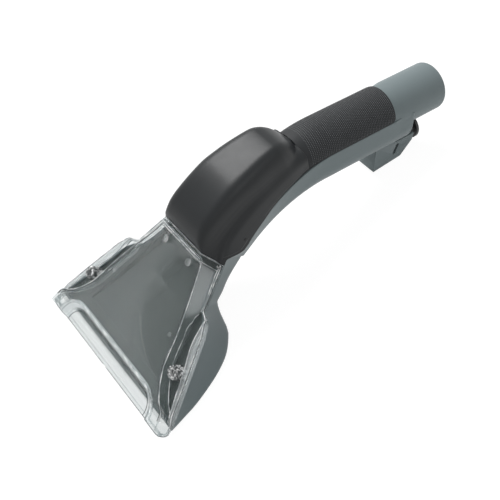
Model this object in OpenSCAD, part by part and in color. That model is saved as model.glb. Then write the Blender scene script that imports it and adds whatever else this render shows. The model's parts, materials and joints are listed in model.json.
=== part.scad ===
// Hand tool of a carpet cleaner: suction nozzle with a clear cover on a hollow handle.
// Handle frame: origin at the centre of the hose tube's end, +X out of the tube, +Z to the grip.
// Head frame: +X from the neck to the mouth along the cover, +Z out of the cover.
// The finished tool lies on its foot and on the inlet block, with +Z up.

/* [Hose tube] */
// Outer radius of the tube that takes the hose
tube_r = 16; // [15:0.5:17]
// Bore radius of the tube
tube_bore_r = 14; // [13.4:0.2:14.4]
// Length of tube behind the grip
tube_len = 45; // [42:1:50]
// Depth of the full bore
tube_bore_len = 38; // [36:1:39]

/* [Handle] */
// Radius of the handle's round top and round belly
body_r = 16.4; // [16:0.1:17]
// Distance from the tube's axis down to the belly's centre
belly_drop = 10; // [8:0.5:11]
// Straight length of the handle
straight_len = 95; // [90:1:105]
// Radius of the handle's bend at the belly's centre
bend_r = 90; // [84:1:100]
// Angle that the handle bends through
bend_angle = 44; // [40:1:48]
// Wall of the grey lower shell
shell_wall = 2; // [1.6:0.1:2.4]
// Length of handle that the textured grip covers
grip_len = 68; // [60:1:75]
// Thickness of the soft grip
grip_t = 1.5; // [1.2:0.1:1.7]

/* [Air duct] */
// Inner radius of the air duct in the handle
duct_r = 12; // [11:0.2:12]
// Wall of the air duct
duct_wall = 1.2; // [1:0.1:1.3]

/* [Head] */
// Length of the cover from neck to lip
head_len = 100.5; // [94:0.5:108]
// Width over the lip
mouth_w = 132; // [124:1:140]
// Width over the flange at the neck
neck_w = 55; // [53:0.5:58]
// Distance from the neck to the rear of the side pockets
pocket_start = 28; // [26:0.5:31]
// Slope of the foot against the cover
foot_angle = 30; // [28:0.5:31]
// Wall of the grey base
base_wall = 2.2; // [1.8:0.1:2.6]

/* [Clear cover] */
// Wall of the clear cover
cover_t = 2; // [1.6:0.1:2.2]
// Height of the channel over the flange
channel_h = 8; // [7:0.25:9]
// Width of the channel's top at the neck
channel_neck_w = 41; // [38:0.5:44]
// Length of the flat lip in front of the step
lip_len = 12; // [11:0.5:14]
// Radius of the screw towers in the side pockets
tower_r = 4.6; // [4:0.1:5.2]

/* [Inlet block] */
// Width of the block under the handle
block_w = 18; // [17:0.5:20]
// Length of the block's floor
block_len = 24; // [22:1:26]
// Bore radius of the solution socket
socket_r = 4; // [3.6:0.1:4.2]
// Travel of the check valve
valve_travel = 2.5; // [2:0.1:2.8]

/* [Hidden] */
$fn = 48;
eps = 0.01;
clearance = 0.1;
far = 200;
grey = "#6f7a78";
black = "#26282a";

// Spine: the belly's centre line, from the tube's end to the neck
bend_len = bend_r * bend_angle * PI / 180;
bend_end = straight_len + bend_len;
neck_run = 16.5;
neck_s = bend_end + neck_run;
head_rise = 38;
tail_s = 27;
collar_step = 0.2;
seam_gap = 0.3;
seam_w = belly_drop + 1;
grip_s = tube_len + grip_len;
neck_belly_r = body_r - 1.6;

// Seat of the air duct inside the tube
web_t = 3;
seal_t = 1;
seal_s = tube_bore_len + web_t;
duct_s = seal_s + seal_t;

// Head: heights under the cover's neck edge
flange_t = 1.8;
flange_v = -channel_h - 4.3;
plate_v = flange_v - flange_t;
plate_t = 2;
tray_depth = 4.5;
channel_v = flange_v + channel_h;
channel_half = channel_neck_w / 2;
lip_drop = 6;
lip_top_v = channel_v - lip_drop;
lip_t = 1.6;
lip_edge_v = plate_v + 0.8;
slot_w = 6.4;
bead_w = 1.3;
slot_front = head_len - bead_w;
base_front = slot_front - slot_w;
base_rear = -3.4;
seat_s = neck_s + base_rear - 0.2;
step_u = head_len - lip_len - 7;

// Outline of the flange: half widths along the head
neck_half = neck_w / 2;
mouth_half = mouth_w / 2;
pocket_half = neck_half + 8.5;
flange_table = [
  [0, neck_half],
  [pocket_start, pocket_half],
  [pocket_start + 2.4, pocket_half + 6],
  [pocket_start + 11, mouth_half - 19.2],
  [head_len * 0.56, mouth_half - 13],
  [head_len * 0.77, mouth_half - 5.7],
  [head_len - 9.5, mouth_half - 1],
  [head_len - 4.5, mouth_half]];
function flange_half(u) = lookup(u, flange_table);

// Foot: the plane that lies on the carpet, through the lip's lower edge
function foot_v(u) = lip_edge_v - (head_len - u) * tan(foot_angle);
heel_u = pocket_start + 10;
heel_v = foot_v(heel_u);
foot_gap = 0.3;

// Screw towers in the side pockets
tower_u = head_len * 0.64;
tower_y = mouth_half - 18.5;
tower_top = channel_v - 0.5;
screw_r = 1.45;
screw_head_r = 2.8;
screw_head_h = 1.8;

// Inlet block and what it carries
wall = 1.8;
block_rear = -27;
block_front = block_rear - block_len;
block_joint_z = -20;
block_slope = 2.3;
block_nose = -17;
block_ledge = -26;
boss_top = shell_wall + 5.5 - belly_drop - body_r;
block_screw_len = 12.5;
block_seat_z = boss_top - 0.5625 - block_screw_len;
block_screw_head_h = 1.6;
inlet_z = -28;
barrel_r = 5.6;
elbow_x = block_front + 6;
inlet_mouth = -11.5;
inlet_rim_r = 8.5;
bulkhead_x = -41;
seat_x = -28.5;
chamber_r = 3.2;
chamber_end = -38;
poppet_r = chamber_r - 0.3;
seat_gap = 0.2;
poppet_back = -32.2;
pin_tip = -23.4;

// Solution tube
line_r = 3;
line_bore_r = 1.9;
line_w = -6.8;
line_turn_r = 4.6;
line_notch = 3.4;
barb_r = line_bore_r - 0.15;
line_rise = 60;

// Spray tip in the foot
tip_u = head_len * 0.52;
tip_r = 4.2;
tip_pocket_r = 6.4;
tip_inlet = 14;
tip_inlet_u = tip_u - tip_inlet * sin(foot_angle);
tip_inlet_v = foot_v(tip_u) + tip_inlet * cos(foot_angle);
ear_z = 5;
ear_y = 8.8;

// The tool lies on the lip's edge and the block's rear edge
lay_angle = bend_angle - foot_angle;
neck_x = -straight_len - (bend_r + head_rise) * sin(bend_angle) - neck_run * cos(bend_angle);
neck_z = -belly_drop - bend_r + (bend_r + head_rise) * cos(bend_angle) - neck_run * sin(bend_angle);
function head_x(u, v) = neck_x - u * cos(bend_angle) - v * sin(bend_angle);
function head_z(u, v) = neck_z - u * sin(bend_angle) + v * cos(bend_angle);
function laid_x(x, z) = x * cos(lay_angle) + z * sin(lay_angle);
function laid_z(x, z) = z * cos(lay_angle) - x * sin(lay_angle);
rest_low = laid_z(head_x(head_len, lip_edge_v), head_z(head_len, lip_edge_v));
rest_front = laid_x(head_x(head_len, lip_top_v), head_z(head_len, lip_top_v));
rest_x = -(rest_front + laid_x(0, tube_r)) / 2;
rest_z = -rest_low;
block_heel_z = (rest_low + block_rear * sin(lay_angle)) / cos(lay_angle);

// Point at height w over the spine at distance s: place along X, height, heading in degrees
function spine_point(s, w) = let (turn = min(max(s - straight_len, 0) / bend_len, 1) * bend_angle,
  run_on = max(s - bend_end, 0))
  [-min(s, straight_len) - (bend_r + w) * sin(turn) - run_on * cos(turn),
    (bend_r + w) * cos(turn) - belly_drop - bend_r - run_on * sin(turn), 180 + turn];

// Outline of points [height, side] set on the spine at distance s
function spine_ring(s, outline) = [for (q = outline) let (p = spine_point(s, q[0])) [p[0], q[1], p[1]]];

function reversed(list) = [for (k = [len(list) - 1:-1:0]) list[k]];
function mirrored(list) = [for (p = reversed(list)) [p[0], -p[1]]];
function unit(v) = v / norm(v);

// Points that round the corner b between a and c, starting a reach before it
function corner(a, b, c, reach, steps) = let (p = b + unit(a - b) * reach, q = b + unit(c - b) * reach)
  [for (k = [0:steps]) let (t = k / steps) (1 - t) * (1 - t) * p + 2 * t * (1 - t) * b + t * t * q];

// Places a profile's plane at distance s along the spine: its X points off the spine, its Z on along it
module on_spine(s) {
  turn = min(max(s - straight_len, 0) / bend_len, 1) * bend_angle;
  run_on = max(s - bend_end, 0);
  translate([-min(s, straight_len), 0, -belly_drop - bend_r])
    rotate([0, -turn, 0])
      translate([-run_on, 0, bend_r])
        rotate([0, -90, 0]) children();
}

// Carries a profile along the spine from one distance to another
module spine_run(from, to) {
  if (from < straight_len)
    on_spine(from) linear_extrude(min(to, straight_len) - from) children();
  if (to > straight_len && from < bend_end) {
    start = max(from - straight_len, 0) / bend_len * bend_angle;
    stop = min((to - straight_len) / bend_len, 1) * bend_angle;
    translate([-straight_len, 0, -belly_drop - bend_r])
      rotate([90, -90, 0])
        rotate([0, 0, start])
          rotate_extrude(angle = stop - start, $fn = 96) translate([bend_r, 0]) children();
  }
  if (to > bend_end)
    on_spine(max(from, bend_end)) linear_extrude(to - max(from, bend_end)) children();
}

// Head frame: X from the neck to the mouth, Z out of the cover
module in_head() {
  on_spine(neck_s) translate([head_rise, 0, 0]) rotate([180, -90, 0]) children();
}

// The whole tool turned so that it lies on its foot and its inlet block
module laid() {
  translate([rest_x, 0, rest_z]) rotate([0, lay_angle, 0]) children();
}

// Frame of the spray tip: origin on the foot, Z into the head at a right angle to the foot
module at_tip() {
  in_head() translate([tip_u, 0, foot_v(tip_u)]) rotate([0, -foot_angle, 0]) children();
}

// Cylinder along the handle's length from x0 down to x1
module along_x(r, x0, x1) {
  translate([x0, 0, 0]) rotate([0, -90, 0]) cylinder(r = r, h = x0 - x1);
}

// Same, on the inlet fitting's axis
module inlet_rod(r, x0, x1) {
  translate([0, 0, inlet_z]) along_x(r, x0, x1);
}

// Shell between a row of outer outlines and a row of inner ones with equally many points each.
// Closed outlines give a pipe, open ones a trough; both are open at the row's ends.
module shell_skin(outer, inner, closed) {
  n = len(outer[0]);
  shift = len(outer) * n;
  last = shift - n;
  spans = closed ? n : n - 1;
  walls = [for (i = [0:len(outer) - 2]) for (k = [0:spans - 1]) let (a = i * n + k, b = i * n + (k + 1) % n)
    each [[a, b, b + n], [a, b + n, a + n],
      [shift + b, shift + a, shift + a + n], [shift + b, shift + a + n, shift + b + n]]];
  ends = [for (k = [0:spans - 1]) let (j = (k + 1) % n)
    each [[j, k, shift + k], [j, shift + k, shift + j],
      [last + k, last + j, shift + last + j], [last + k, shift + last + j, shift + last + k]]];
  rims = closed ? [] : [for (i = [0:len(outer) - 2]) let (a = i * n, b = a + n - 1)
    each [[a, a + n, shift + a + n], [a, shift + a + n, shift + a],
      [b + n, b, shift + b], [b + n, shift + b, shift + b + n]]];
  polyhedron(concat([for (ring = outer) each ring], [for (ring = inner) each ring]),
    concat(walls, ends, rims), convexity = 8);
}

// Solid between an upper and a lower net of points, each a list of equally long rows
module net_skin(upper, lower) {
  n = len(upper[0]);
  rows = len(upper);
  shift = rows * n;
  spans = [for (i = [0:rows - 2]) for (k = [0:n - 2]) i * n + k];
  nets = [for (a = spans) each [[a, a + n + 1, a + n], [a, a + 1, a + n + 1],
    [shift + a, shift + a + n + 1, shift + a + 1], [shift + a, shift + a + n, shift + a + n + 1]]];
  sides = [for (i = [0:rows - 2]) let (a = i * n, b = a + n - 1)
    each [[a, shift + a + n, shift + a], [a, a + n, shift + a + n],
      [b, shift + b + n, b + n], [b, shift + b, shift + b + n]]];
  ends = [for (k = [0:n - 2]) let (e = shift - n + k)
    each [[k, shift + k + 1, k + 1], [k, shift + k, shift + k + 1],
      [e, shift + e + 1, shift + e], [e, e + 1, shift + e + 1]]];
  polyhedron(concat([for (row = upper) each row], [for (row = lower) each row]),
    concat(nets, sides, ends), convexity = 8);
}

// Joins thin slices, each with the next
module chain(count) {
  for (i = [0:count - 2]) hull() {
    let ($slice = i) children();
    let ($slice = i + 1) children();
  }
}

// ---- Handle ----

// Round-topped, round-bottomed profile of the handle
module handle_profile(r) {
  circle(r);
  translate([belly_drop, 0]) circle(r);
  translate([belly_drop / 2, 0]) square([belly_drop, 2 * r], center = true);
}

module below_seam() {
  translate([seam_w - far, -far / 2]) square([far, far]);
}

module above_seam() {
  translate([seam_w, -far / 2]) square([far, far]);
}

// Places of the block's two screws
module at_block_screws() {
  for (side = [-1, 1]) translate([block_front + 4.5, side * (block_w / 2 - 2.5), 0]) children();
}

// Grey tube for the hose, with the trough of the handle's belly in one moulding
module handle_tube() color(grey) difference() {
  union() {
    along_x(tube_r, 0, -tube_len);
    along_x(tube_r + collar_step, -tail_s, -tube_len);
    spine_run(tail_s, tail_s + shell_wall) intersection() {
      handle_profile(body_r);
      below_seam();
    }
    spine_run(tail_s + shell_wall, straight_len) intersection() {
      difference() {
        handle_profile(body_r);
        handle_profile(body_r - shell_wall);
      }
      below_seam();
    }
    at_block_screws() translate([0, 0, -belly_drop - body_r + shell_wall]) cylinder(r = 2.4, h = 5.5);
  }
  along_x(tube_bore_r, 1, -tube_bore_len);
  along_x(duct_r, 0, -tube_len - 1);
  along_x(duct_r + duct_wall + clearance, -seal_s, -tube_len - 1);
  inlet_rod(barrel_r + 0.3, -tail_s + 1, block_front + wall);
  translate([-tube_len - 1, -line_r - 0.6, -tube_r - 1]) cube([line_notch, 2 * line_r + 1.2, 3.6]);
  at_block_screws() translate([0, 0, -belly_drop - body_r - 1]) cylinder(r = 1.15, h = 8);
}

// Dark inner half shell that carries the soft grip
module upper_shell() color("#2c2e30") spine_run(tube_len, grip_s) intersection() {
  difference() {
    handle_profile(body_r - grip_t);
    handle_profile(duct_r + duct_wall + clearance);
  }
  above_seam();
}

// Soft black grip over the handle's top
module grip_sleeve() color(black) spine_run(tube_len, grip_s - clearance) intersection() {
  difference() {
    handle_profile(body_r);
    handle_profile(body_r - grip_t);
  }
  above_seam();
}

// Height of the seam between black and grey over the spine
function seam_at(s) = lookup(s, [[bend_end + 3, seam_w], [seat_s, head_rise + plate_v]]);

// Grey lower shell from the handle to the head: distance, half width at the seam, belly radius
neck_table = [for (k = [0:8]) let (t = k / 8)
  [straight_len + t * (seat_s - straight_len), body_r + 9 * pow(t, 1.6),
    body_r + t * (neck_belly_r - body_r)]];

// Trough outline: from one seam edge round the belly to the other
function trough(seam, half, r) = let (reach = norm([seam, half]),
  touch = atan2(half, -seam) - acos(r / reach), steps = 12)
  concat([[seam, half]],
    [for (k = [0:steps]) let (a = touch - 2 * touch * k / steps) [-r * cos(a), r * sin(a)]],
    [[seam, -half]]);

function neck_ring(row, inset) = spine_ring(row[0],
  trough(seam_at(row[0]) - seam_gap, row[1] - inset, row[2] - inset));

module neck_shell() color(grey) shell_skin([for (row = neck_table) neck_ring(row, 0)],
  [for (row = neck_table) neck_ring(row, shell_wall)], false);

// ---- Hood ----

hood_wall = 2.2;

// Sections of the hood: distance, seam half width, shoulder height, shoulder half width, dome foot
// half width, top height, top half width, reach of the top's rounding
hood_table = [
  [grip_s, body_r, seam_w + 0.4, body_r, body_r, belly_drop + body_r, body_r, 14.5],
  [grip_s + 3, 16.6, 14, 16.6, 16.2, 29.6, 15.7, 13],
  [grip_s + 6, 17, 17, 16.9, 16, 34.4, 14.8, 11],
  [grip_s + 12, 17.8, 22, 17.7, 16.6, 39.7, 15.8, 11],
  [grip_s + 19, 18.6, 25, 18.5, 17.4, 43.2, 17, 11],
  [grip_s + 27, 19.7, 27, 19.6, 18.4, 45, 17.8, 10],
  [grip_s + 35, 21.2, 28, 20.6, 19, 46.5, 18, 8],
  [grip_s + 43, 22.2, 28, 21.3, 19.6, 47, 18, 7],
  [bend_end - 1, 23, 28, 21.7, 20, 47.2, 18, 6],
  [neck_s - 12, 24, 28, 22, 20.4, 46.4, 18.1, 5],
  [neck_s - 6, 25.5, 27.5, 23, 21.4, 44, 18.3, 4],
  [neck_s - 2, 26.7, 27, 24.5, 23, 41, 18.6, 2.5],
  [neck_s, neck_half - 0.2, 26.5, 25.7, 25, head_rise, channel_half - 1.6, 1]];

// Half of a hood section, from the seam up to the middle of the top
function hood_half(row, seam, inset) = let (
  base = [seam, row[1] - inset],
  shoulder_w = max(row[2] - inset / 2, seam + 0.2),
  shoulder = [shoulder_w, row[3] - inset],
  foot = [shoulder_w + 1.2, row[4] - inset],
  edge = [row[5] - inset, row[6] - inset],
  top = [row[5] - inset, 0],
  soft = min(0.45 * norm(foot - shoulder), 1),
  round_reach = max(row[7] - inset, 0.6))
  concat([base], corner(base, shoulder, foot, soft, 2), corner(shoulder, foot, edge, soft, 2),
    corner(foot, edge, top, round_reach, 7));

function hood_ring(row, inset) = let (half = hood_half(row, seam_at(row[0]), inset))
  spine_ring(row[0], reversed(concat(half, mirrored(half))));

// Black hood over the neck, a hollow dome on a skirt
module hood() color("#303234") shell_skin([for (row = hood_table) hood_ring(row, 0)],
  [for (row = hood_table) hood_ring(row, hood_wall)], false);

// ---- Air duct ----

// Stations of the duct: distance, share of the change from round to flat
duct_table = concat([[duct_s, 0], [straight_len, 0], [(straight_len + grip_s) / 2, 0]],
  [for (k = [0:7]) [grip_s + k / 7 * (neck_s - grip_s), k / 7]]);
function blend(a, b, t) = a + (b - a) * (3 * t * t - 2 * t * t * t);

function duct_ring(row, grow) = let (t = row[1], r = blend(duct_r, 3, t) + grow, steps = 6,
  top_w = blend(belly_drop, head_rise - 6.6, t), top_y = blend(0, 12, t),
  low_w = blend(belly_drop, head_rise + plate_v - tray_depth + 3, t), low_y = blend(0, neck_half - 10.5, t),
  centres = [[top_w, top_y], [top_w, -top_y], [low_w, -low_y], [low_w, low_y]])
  spine_ring(row[0], [for (q = [0:3]) for (k = [0:steps]) let (a = 90 - 90 * q - 90 * k / steps)
    centres[q] + r * [cos(a), sin(a)]]);

// Duct that carries the air from the channel to the tube
module air_duct() color("#3a3d3f") shell_skin([for (row = duct_table) duct_ring(row, duct_wall)],
  [for (row = duct_table) duct_ring(row, 0)], true);

// Flat seal between the tube's web and the duct
module duct_seal() color(black) difference() {
  along_x(duct_r + duct_wall, -seal_s, -duct_s);
  along_x(duct_r, 0, -duct_s - 1);
}

// ---- Head ----

// Sections of the base: distance, corner half width, corner height, reach of its rounding, keel height
base_table = [
  [base_rear, 9.5, 2.3 - head_rise - neck_belly_r, 9, 2.3 - head_rise - neck_belly_r],
  [neck_half - 12.5, 16, heel_v + 3.4, 10, heel_v - 1],
  [pocket_start - 6, 22, heel_v + 2.9, 9, heel_v - 0.7],
  [pocket_start, 29, heel_v + 2.6, 9, heel_v - 0.4],
  [pocket_start + 2.4, 33.5, heel_v + 1.8, 9, heel_v - 0.2],
  [pocket_start + 5, 37, heel_v + 1, 9, heel_v],
  [heel_u, 41.5, heel_v + foot_gap, 8, heel_v + foot_gap],
  for (row = [[0.49, 17.5, 7], [0.65, 10, 5.5], [0.8, 4.8, 4]])
    let (low = foot_v(head_len * row[0]) + foot_gap) [head_len * row[0], mouth_half - row[1], low, row[2], low],
  [base_front, mouth_half - 2.2, foot_v(base_front) + foot_gap, 0.6, foot_v(base_front) + foot_gap]];

// Half outline of the base's outside and of its hollow, from the rim down to the keel
function base_outer(row) = let (half = flange_half(row[0]) + 1.2, edge = [plate_v, half],
  low = [row[2], row[1]], down = unit(low - edge), keel = [row[4], 0])
  concat([edge, edge + down * plate_t, edge + down * (plate_t + 0.6)],
    corner(edge, low, keel, row[3], 6), [keel]);
function base_inner(row) = let (half = flange_half(row[0]) - 1, ledge = half - 1.6,
  low = [min(row[2] + base_wall, plate_v - plate_t - 0.8), min(row[1] - base_wall, ledge - 1)],
  edge = [plate_v - plate_t, ledge], keel = [low[0] + row[4] - row[2], 0])
  concat([[plate_v, half], [plate_v - plate_t, half], edge],
    corner(edge, low, keel, max(0.2, min(row[3] - base_wall / 2, 0.45 * norm(edge - low), low[1] - 0.5)), 6),
    [keel]);

function base_row(half, u) = [for (p = concat(half, [for (k = [len(half) - 2:-1:0]) [half[k][0], -half[k][1]]]))
  [u, p[1], p[0]]];

module at_towers() {
  for (side = [-1, 1]) translate([tower_u, side * tower_y, 0]) children();
}

// Wells for the cover's screws, posts over them and the base's front wall
well_depth = 2.5;
well_top = plate_v - plate_t - well_depth;
base_front_wall = 2.6;
post_v = foot_v(tower_u + tower_r) + foot_gap + 1;

// Grey base: a pan that is closed below by the foot

module base_pan() {
  last = len(base_table) - 1;
  inner_u = [for (k = [0:last]) base_table[k][0] - (k == last ? base_front_wall : 0)];
  outer = [for (row = base_table) base_row(base_outer(row), row[0])];
  inner = [for (k = [0:last]) base_row(base_inner(base_table[k]), inner_u[k])];
  n = len(outer[0]);
  mid = (n - 1) / 2;
  shift = n * (last + 1);
  walls = [for (i = [0:last - 1]) for (k = [0:n - 2]) let (a = i * n + k, b = a + 1)
    each [[a, b, b + n], [a, b + n, a + n],
      [shift + b, shift + a, shift + a + n], [shift + b, shift + a + n, shift + b + n]]];
  rear = [for (k = [0:n - 2]) each [[k + 1, k, shift + k], [k + 1, shift + k, shift + k + 1]]];
  rims = [for (i = [0:last - 1]) let (a = i * n, b = a + n - 1)
    each [[a, a + n, shift + a + n], [a, shift + a + n, shift + a],
      [b + n, b, shift + b], [b + n, shift + b, shift + b + n]]];
  f = last * n;
  front = [for (k = [0:n - 2]) if (k != mid && k + 1 != mid)
    each [[f + mid, f + k, f + k + 1], [shift + f + mid, shift + f + k + 1, shift + f + k]]];
  caps = [[f + mid, f + n - 1, f], [shift + f + mid, shift + f, shift + f + n - 1],
    [f, f + n - 1, shift + f + n - 1], [f, shift + f + n - 1, shift + f]];
  polyhedron(concat([for (row = outer) each row], [for (row = inner) each row]),
    concat(walls, rear, rims, front, caps), convexity = 8);
}

module head_base() color(grey) difference() {
  union() {
    in_head() base_pan();
    in_head() at_towers() translate([0, 0, post_v])
      cylinder(r = tower_r, h = plate_v - plate_t - post_v);
    at_tip() for (y = [-ear_y, ear_y]) translate([0, y, 1]) cylinder(r = 2.6, h = ear_z - 1);
  }
  in_head() at_towers() {
    translate([0, 0, well_top - far]) cylinder(r = screw_head_r + 0.4, h = far);
    translate([0, 0, well_top - 1]) cylinder(r = screw_r + 0.3, h = far);
  }
  at_tip() {
    translate([0, 0, -far / 2]) cylinder(r = tip_pocket_r, h = far / 2 + ear_z);
    for (y = [-ear_y, ear_y]) translate([0, y, 2.2]) cylinder(r = 0.9, h = far);
  }
}

// Plan of the floor plate inside the base's rim
floor_gap = 0.3;
function floor_edge(u) = [u, flange_half(u) - 1 - floor_gap];
floor_plan = let (front = base_front - base_front_wall - floor_gap,
  stops = concat([0], [for (row = base_table) if (row[0] > 0 && row[0] < front) row[0]], [front]),
  right = [for (u = stops) floor_edge(u)])
  concat(right, [for (k = [len(right) - 1:-1:0]) [right[k][0], -right[k][1]]]);

// Tray under the channel: distance, half width, depth below the plate
tray_t = 1.6;
tray_table = [
  [0, neck_half - 6.5, tray_depth],
  [pocket_start, pocket_half - 9, tray_depth - 0.5],
  [head_len * 0.6, pocket_half, tray_depth * 0.5],
  [head_len * 0.78, mouth_half - 24, plate_t - tray_t]];

module tray(grow, top) {
  chain(len(tray_table)) let (row = tray_table[$slice], low = plate_v - row[2] - grow)
    translate([row[0], -row[1] - grow, low]) cube([eps, 2 * (row[1] + grow), top - low]);
}

// Grey floor of the suction channel, a plate with a shallow tray
module channel_floor() color("#66716f") in_head() difference() {
  union() {
    translate([0, 0, plate_v - plate_t]) linear_extrude(plate_t) polygon(floor_plan);
    tray(tray_t, plate_v - 0.2);
  }
  tray(0, plate_v + 1);
  at_towers() translate([0, 0, plate_v - plate_t - 1]) cylinder(r = screw_r + 0.3, h = plate_t + 2);
}

// ---- Clear cover ----

// Half of a section across the cover, from the middle of the channel's top out to the flange's edge
function cover_section(u, half, top, foot, rim) = let (edge = flange_half(u), room = edge - foot)
  [[u, 0, top], [u, 0.55 * half, top], [u, 0.7 * half, top], [u, 0.84 * half, top], [u, half - 0.8, top],
    [u, half + 0.3, top - 1], [u, foot, flange_v], [u, edge - min(2.8, 0.7 * room), flange_v],
    [u, edge - min(2.2, 0.4 * room), flange_v + rim], [u, edge, flange_v + rim]];
function under_section(u, half, top, foot) = let (edge = flange_half(u), room = edge - foot)
  [[u, 0, top - cover_t], [u, 0.55 * half, top - cover_t], [u, 0.7 * half, top - cover_t],
    [u, 0.84 * half, top - cover_t], [u, half - 0.8 - cover_t / 2, top - cover_t],
    [u, half + 0.3 - 0.9 * cover_t, top - 1 - 0.7 * cover_t], [u, foot - cover_t, plate_v],
    [u, edge - min(2.8, 0.7 * room), plate_v], [u, edge - min(2.2, 0.4 * room), plate_v], [u, edge, plate_v]];

// Sections behind the step: distance, channel half width, its top, its foot's half width, pocket rim
rim_h = 2;
channel_table = [
  [0, channel_half - 1.6, 0, neck_half - 1.2, 0],
  [3.6, channel_half - 0.8, -0.5, neck_half - 1, 0],
  [5.5, channel_half, channel_v + 1.3, neck_half - 0.8, 0],
  [pocket_start, channel_half + 8.5, channel_v + 0.3, pocket_half - 2.2, 0],
  [pocket_start + 2.4, channel_half + 9.5, channel_v + 0.2, pocket_half - 1.2, rim_h],
  [pocket_start + 10, channel_half + 12.5, channel_v, pocket_half + 1, rim_h],
  [head_len * 0.48, channel_half + 15.5, channel_v, pocket_half + 4.5, rim_h],
  [head_len * 0.6, channel_half + 19, channel_v, pocket_half + 7.5, rim_h],
  [head_len * 0.68, channel_half + 21.5, channel_v, pocket_half + 10, rim_h],
  [head_len * 0.76, channel_half + 26.5, channel_v, mouth_half - 15, rim_h]];

// Points of the step and of the recessed lip, as [distance, half width, height], crest first
corner_v = (lip_top_v + flange_v) / 2;
front_rows = let (m = mouth_half, h = channel_half, s = step_u, t = lip_top_v, e = head_len) [
  [[s, 0, channel_v], [s, h + 12.5, channel_v], [s + 2.5, h + 21.5, channel_v], [s + 7.2, h + 30, channel_v],
    [s + 7.2, m - 9, channel_v], [s + 7.2, m - 7.8, channel_v - 1], [s + 7.2, m - 5.4, flange_v],
    [s + 7.2, m - 4.6, flange_v], [s + 7.2, m - 4, flange_v + rim_h], [s + 7.2, m - 2, flange_v + rim_h]],
  [[s + 6.5, 0, t], [s + 6.5, h + 12, t], [s + 8.5, h + 25.5, t], [s + 11.5, h + 31, channel_v - 0.8],
    [s + 11.5, m - 8.5, channel_v - 0.8], [s + 11.5, m - 7.3, channel_v - 1.8], [s + 11.5, m - 5.2, corner_v],
    [s + 11.5, m - 3.7, corner_v], [s + 11.5, m - 3.2, corner_v + 0.6], [s + 11.5, m - 1, corner_v + 0.6]],
  [[e - 3.5, 0, t], [e - 3.5, h + 12, t], [e - 3.5, h + 29, t], [e - 3.5, h + 31.8, t + 4.5],
    [e - 3.5, m - 9, t + 4.2], [e - 3.5, m - 7.4, t + 3], [e - 3.5, m - 5.2, corner_v],
    [e - 3.5, m - 4.4, corner_v], [e - 3.5, m - 3.7, corner_v], [e - 3.5, m - 1.7, corner_v]],
  [[e - 1.2, 0, t], [e - 1.2, h + 12, t], [e - 1.2, h + 29.5, t], [e - 1.2, h + 32.2, t + 2.3],
    [e - 1.2, m - 9.5, t + 2], [e - 1.3, m - 8, t + 1.2], [e - 1.5, m - 6.2, corner_v],
    [e - 1.6, m - 5.5, corner_v], [e - 1.7, m - 4.9, corner_v], [e - 1.9, m - 3, corner_v]],
  [[e, 0, t], [e, h + 12, t], [e, h + 29, t], [e, h + 31.5, t], [e - 0.1, m - 11, t - 0.1],
    [e - 0.3, m - 9, t - 0.4], [e - 0.6, m - 7.5, corner_v], [e - 0.7, m - 6.8, corner_v],
    [e - 0.8, m - 6.2, corner_v], [e - 1.1, m - 4.5, corner_v]]];

// The same rows on the underside: what each point moves by, along the head and in height
function under_point(p, back, v) = [p[0] - back, p[1], v];
under_rows = let (low = lip_top_v - lip_t, rows = front_rows) [
  [for (k = [0:9]) let (p = rows[0][k])
    k < 5 ? [p[0] - 1.3, p[1] - (k > 2 ? 1 : 0), channel_v - cover_t] :
    k == 5 ? [p[0], p[1] - cover_t, channel_v - 1 - cover_t] :
    [p[0], p[1] - (k == 6 ? cover_t : 0), plate_v]],
  [for (k = [0:9]) let (p = rows[1][k])
    k < 3 ? under_point(p, 1.3, low) : k < 5 ? under_point(p, 0, p[2] - cover_t) :
    k == 5 ? [p[0], p[1] - cover_t, p[2] - cover_t] : [p[0], p[1] - (k == 6 ? cover_t : 0), plate_v]],
  [for (k = [0:9]) let (p = rows[2][k])
    k < 6 ? [slot_front - 0.1, p[1] - (k == 5 ? 1.5 : 0), low] : under_point(p, k == 6 ? 0.5 : 0, lip_edge_v)],
  [for (k = [0:9]) let (p = rows[3][k]) under_point(p, k < 6 ? p[0] - slot_front : 0, lip_edge_v)],
  [for (p = rows[4]) under_point(p, 0, lip_edge_v)]];

function whole_row(half) = concat([for (k = [len(half) - 1:-1:1]) [half[k][0], -half[k][1], half[k][2]]], half);

// Clear cover: channel, side pockets with their screw towers, and the recessed lip over the mouth
module clear_cover() color("#dfe8ec", 0.45) in_head() difference() {
  union() {
    net_skin(
      [for (row = concat([for (r = channel_table) cover_section(r[0], r[1], r[2], r[3], r[4])], front_rows))
        whole_row(row)],
      [for (row = concat([for (r = channel_table) under_section(r[0], r[1], r[2], r[3])], under_rows))
        whole_row(row)]);
    at_towers() translate([0, 0, plate_v + 0.3]) cylinder(r = tower_r, h = tower_top - plate_v - 0.3, $fn = 8);
  }
  at_towers() translate([0, 0, plate_v - 1]) cylinder(r = screw_r + 0.1, h = tower_top - plate_v - 1);
}

// Two screws from below, through base and floor into the towers
module cover_screws() color("#b9bcbd") in_head() at_towers() {
  translate([0, 0, well_top - screw_head_h]) cylinder(r = screw_head_r, h = screw_head_h);
  translate([0, 0, well_top - eps]) cylinder(r = screw_r, h = tower_top - 3 - well_top);
}

// ---- Inlet block ----

module block_side(points) {
  rotate([90, 0, 0]) linear_extrude(block_w, center = true) polygon(points);
}

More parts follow.
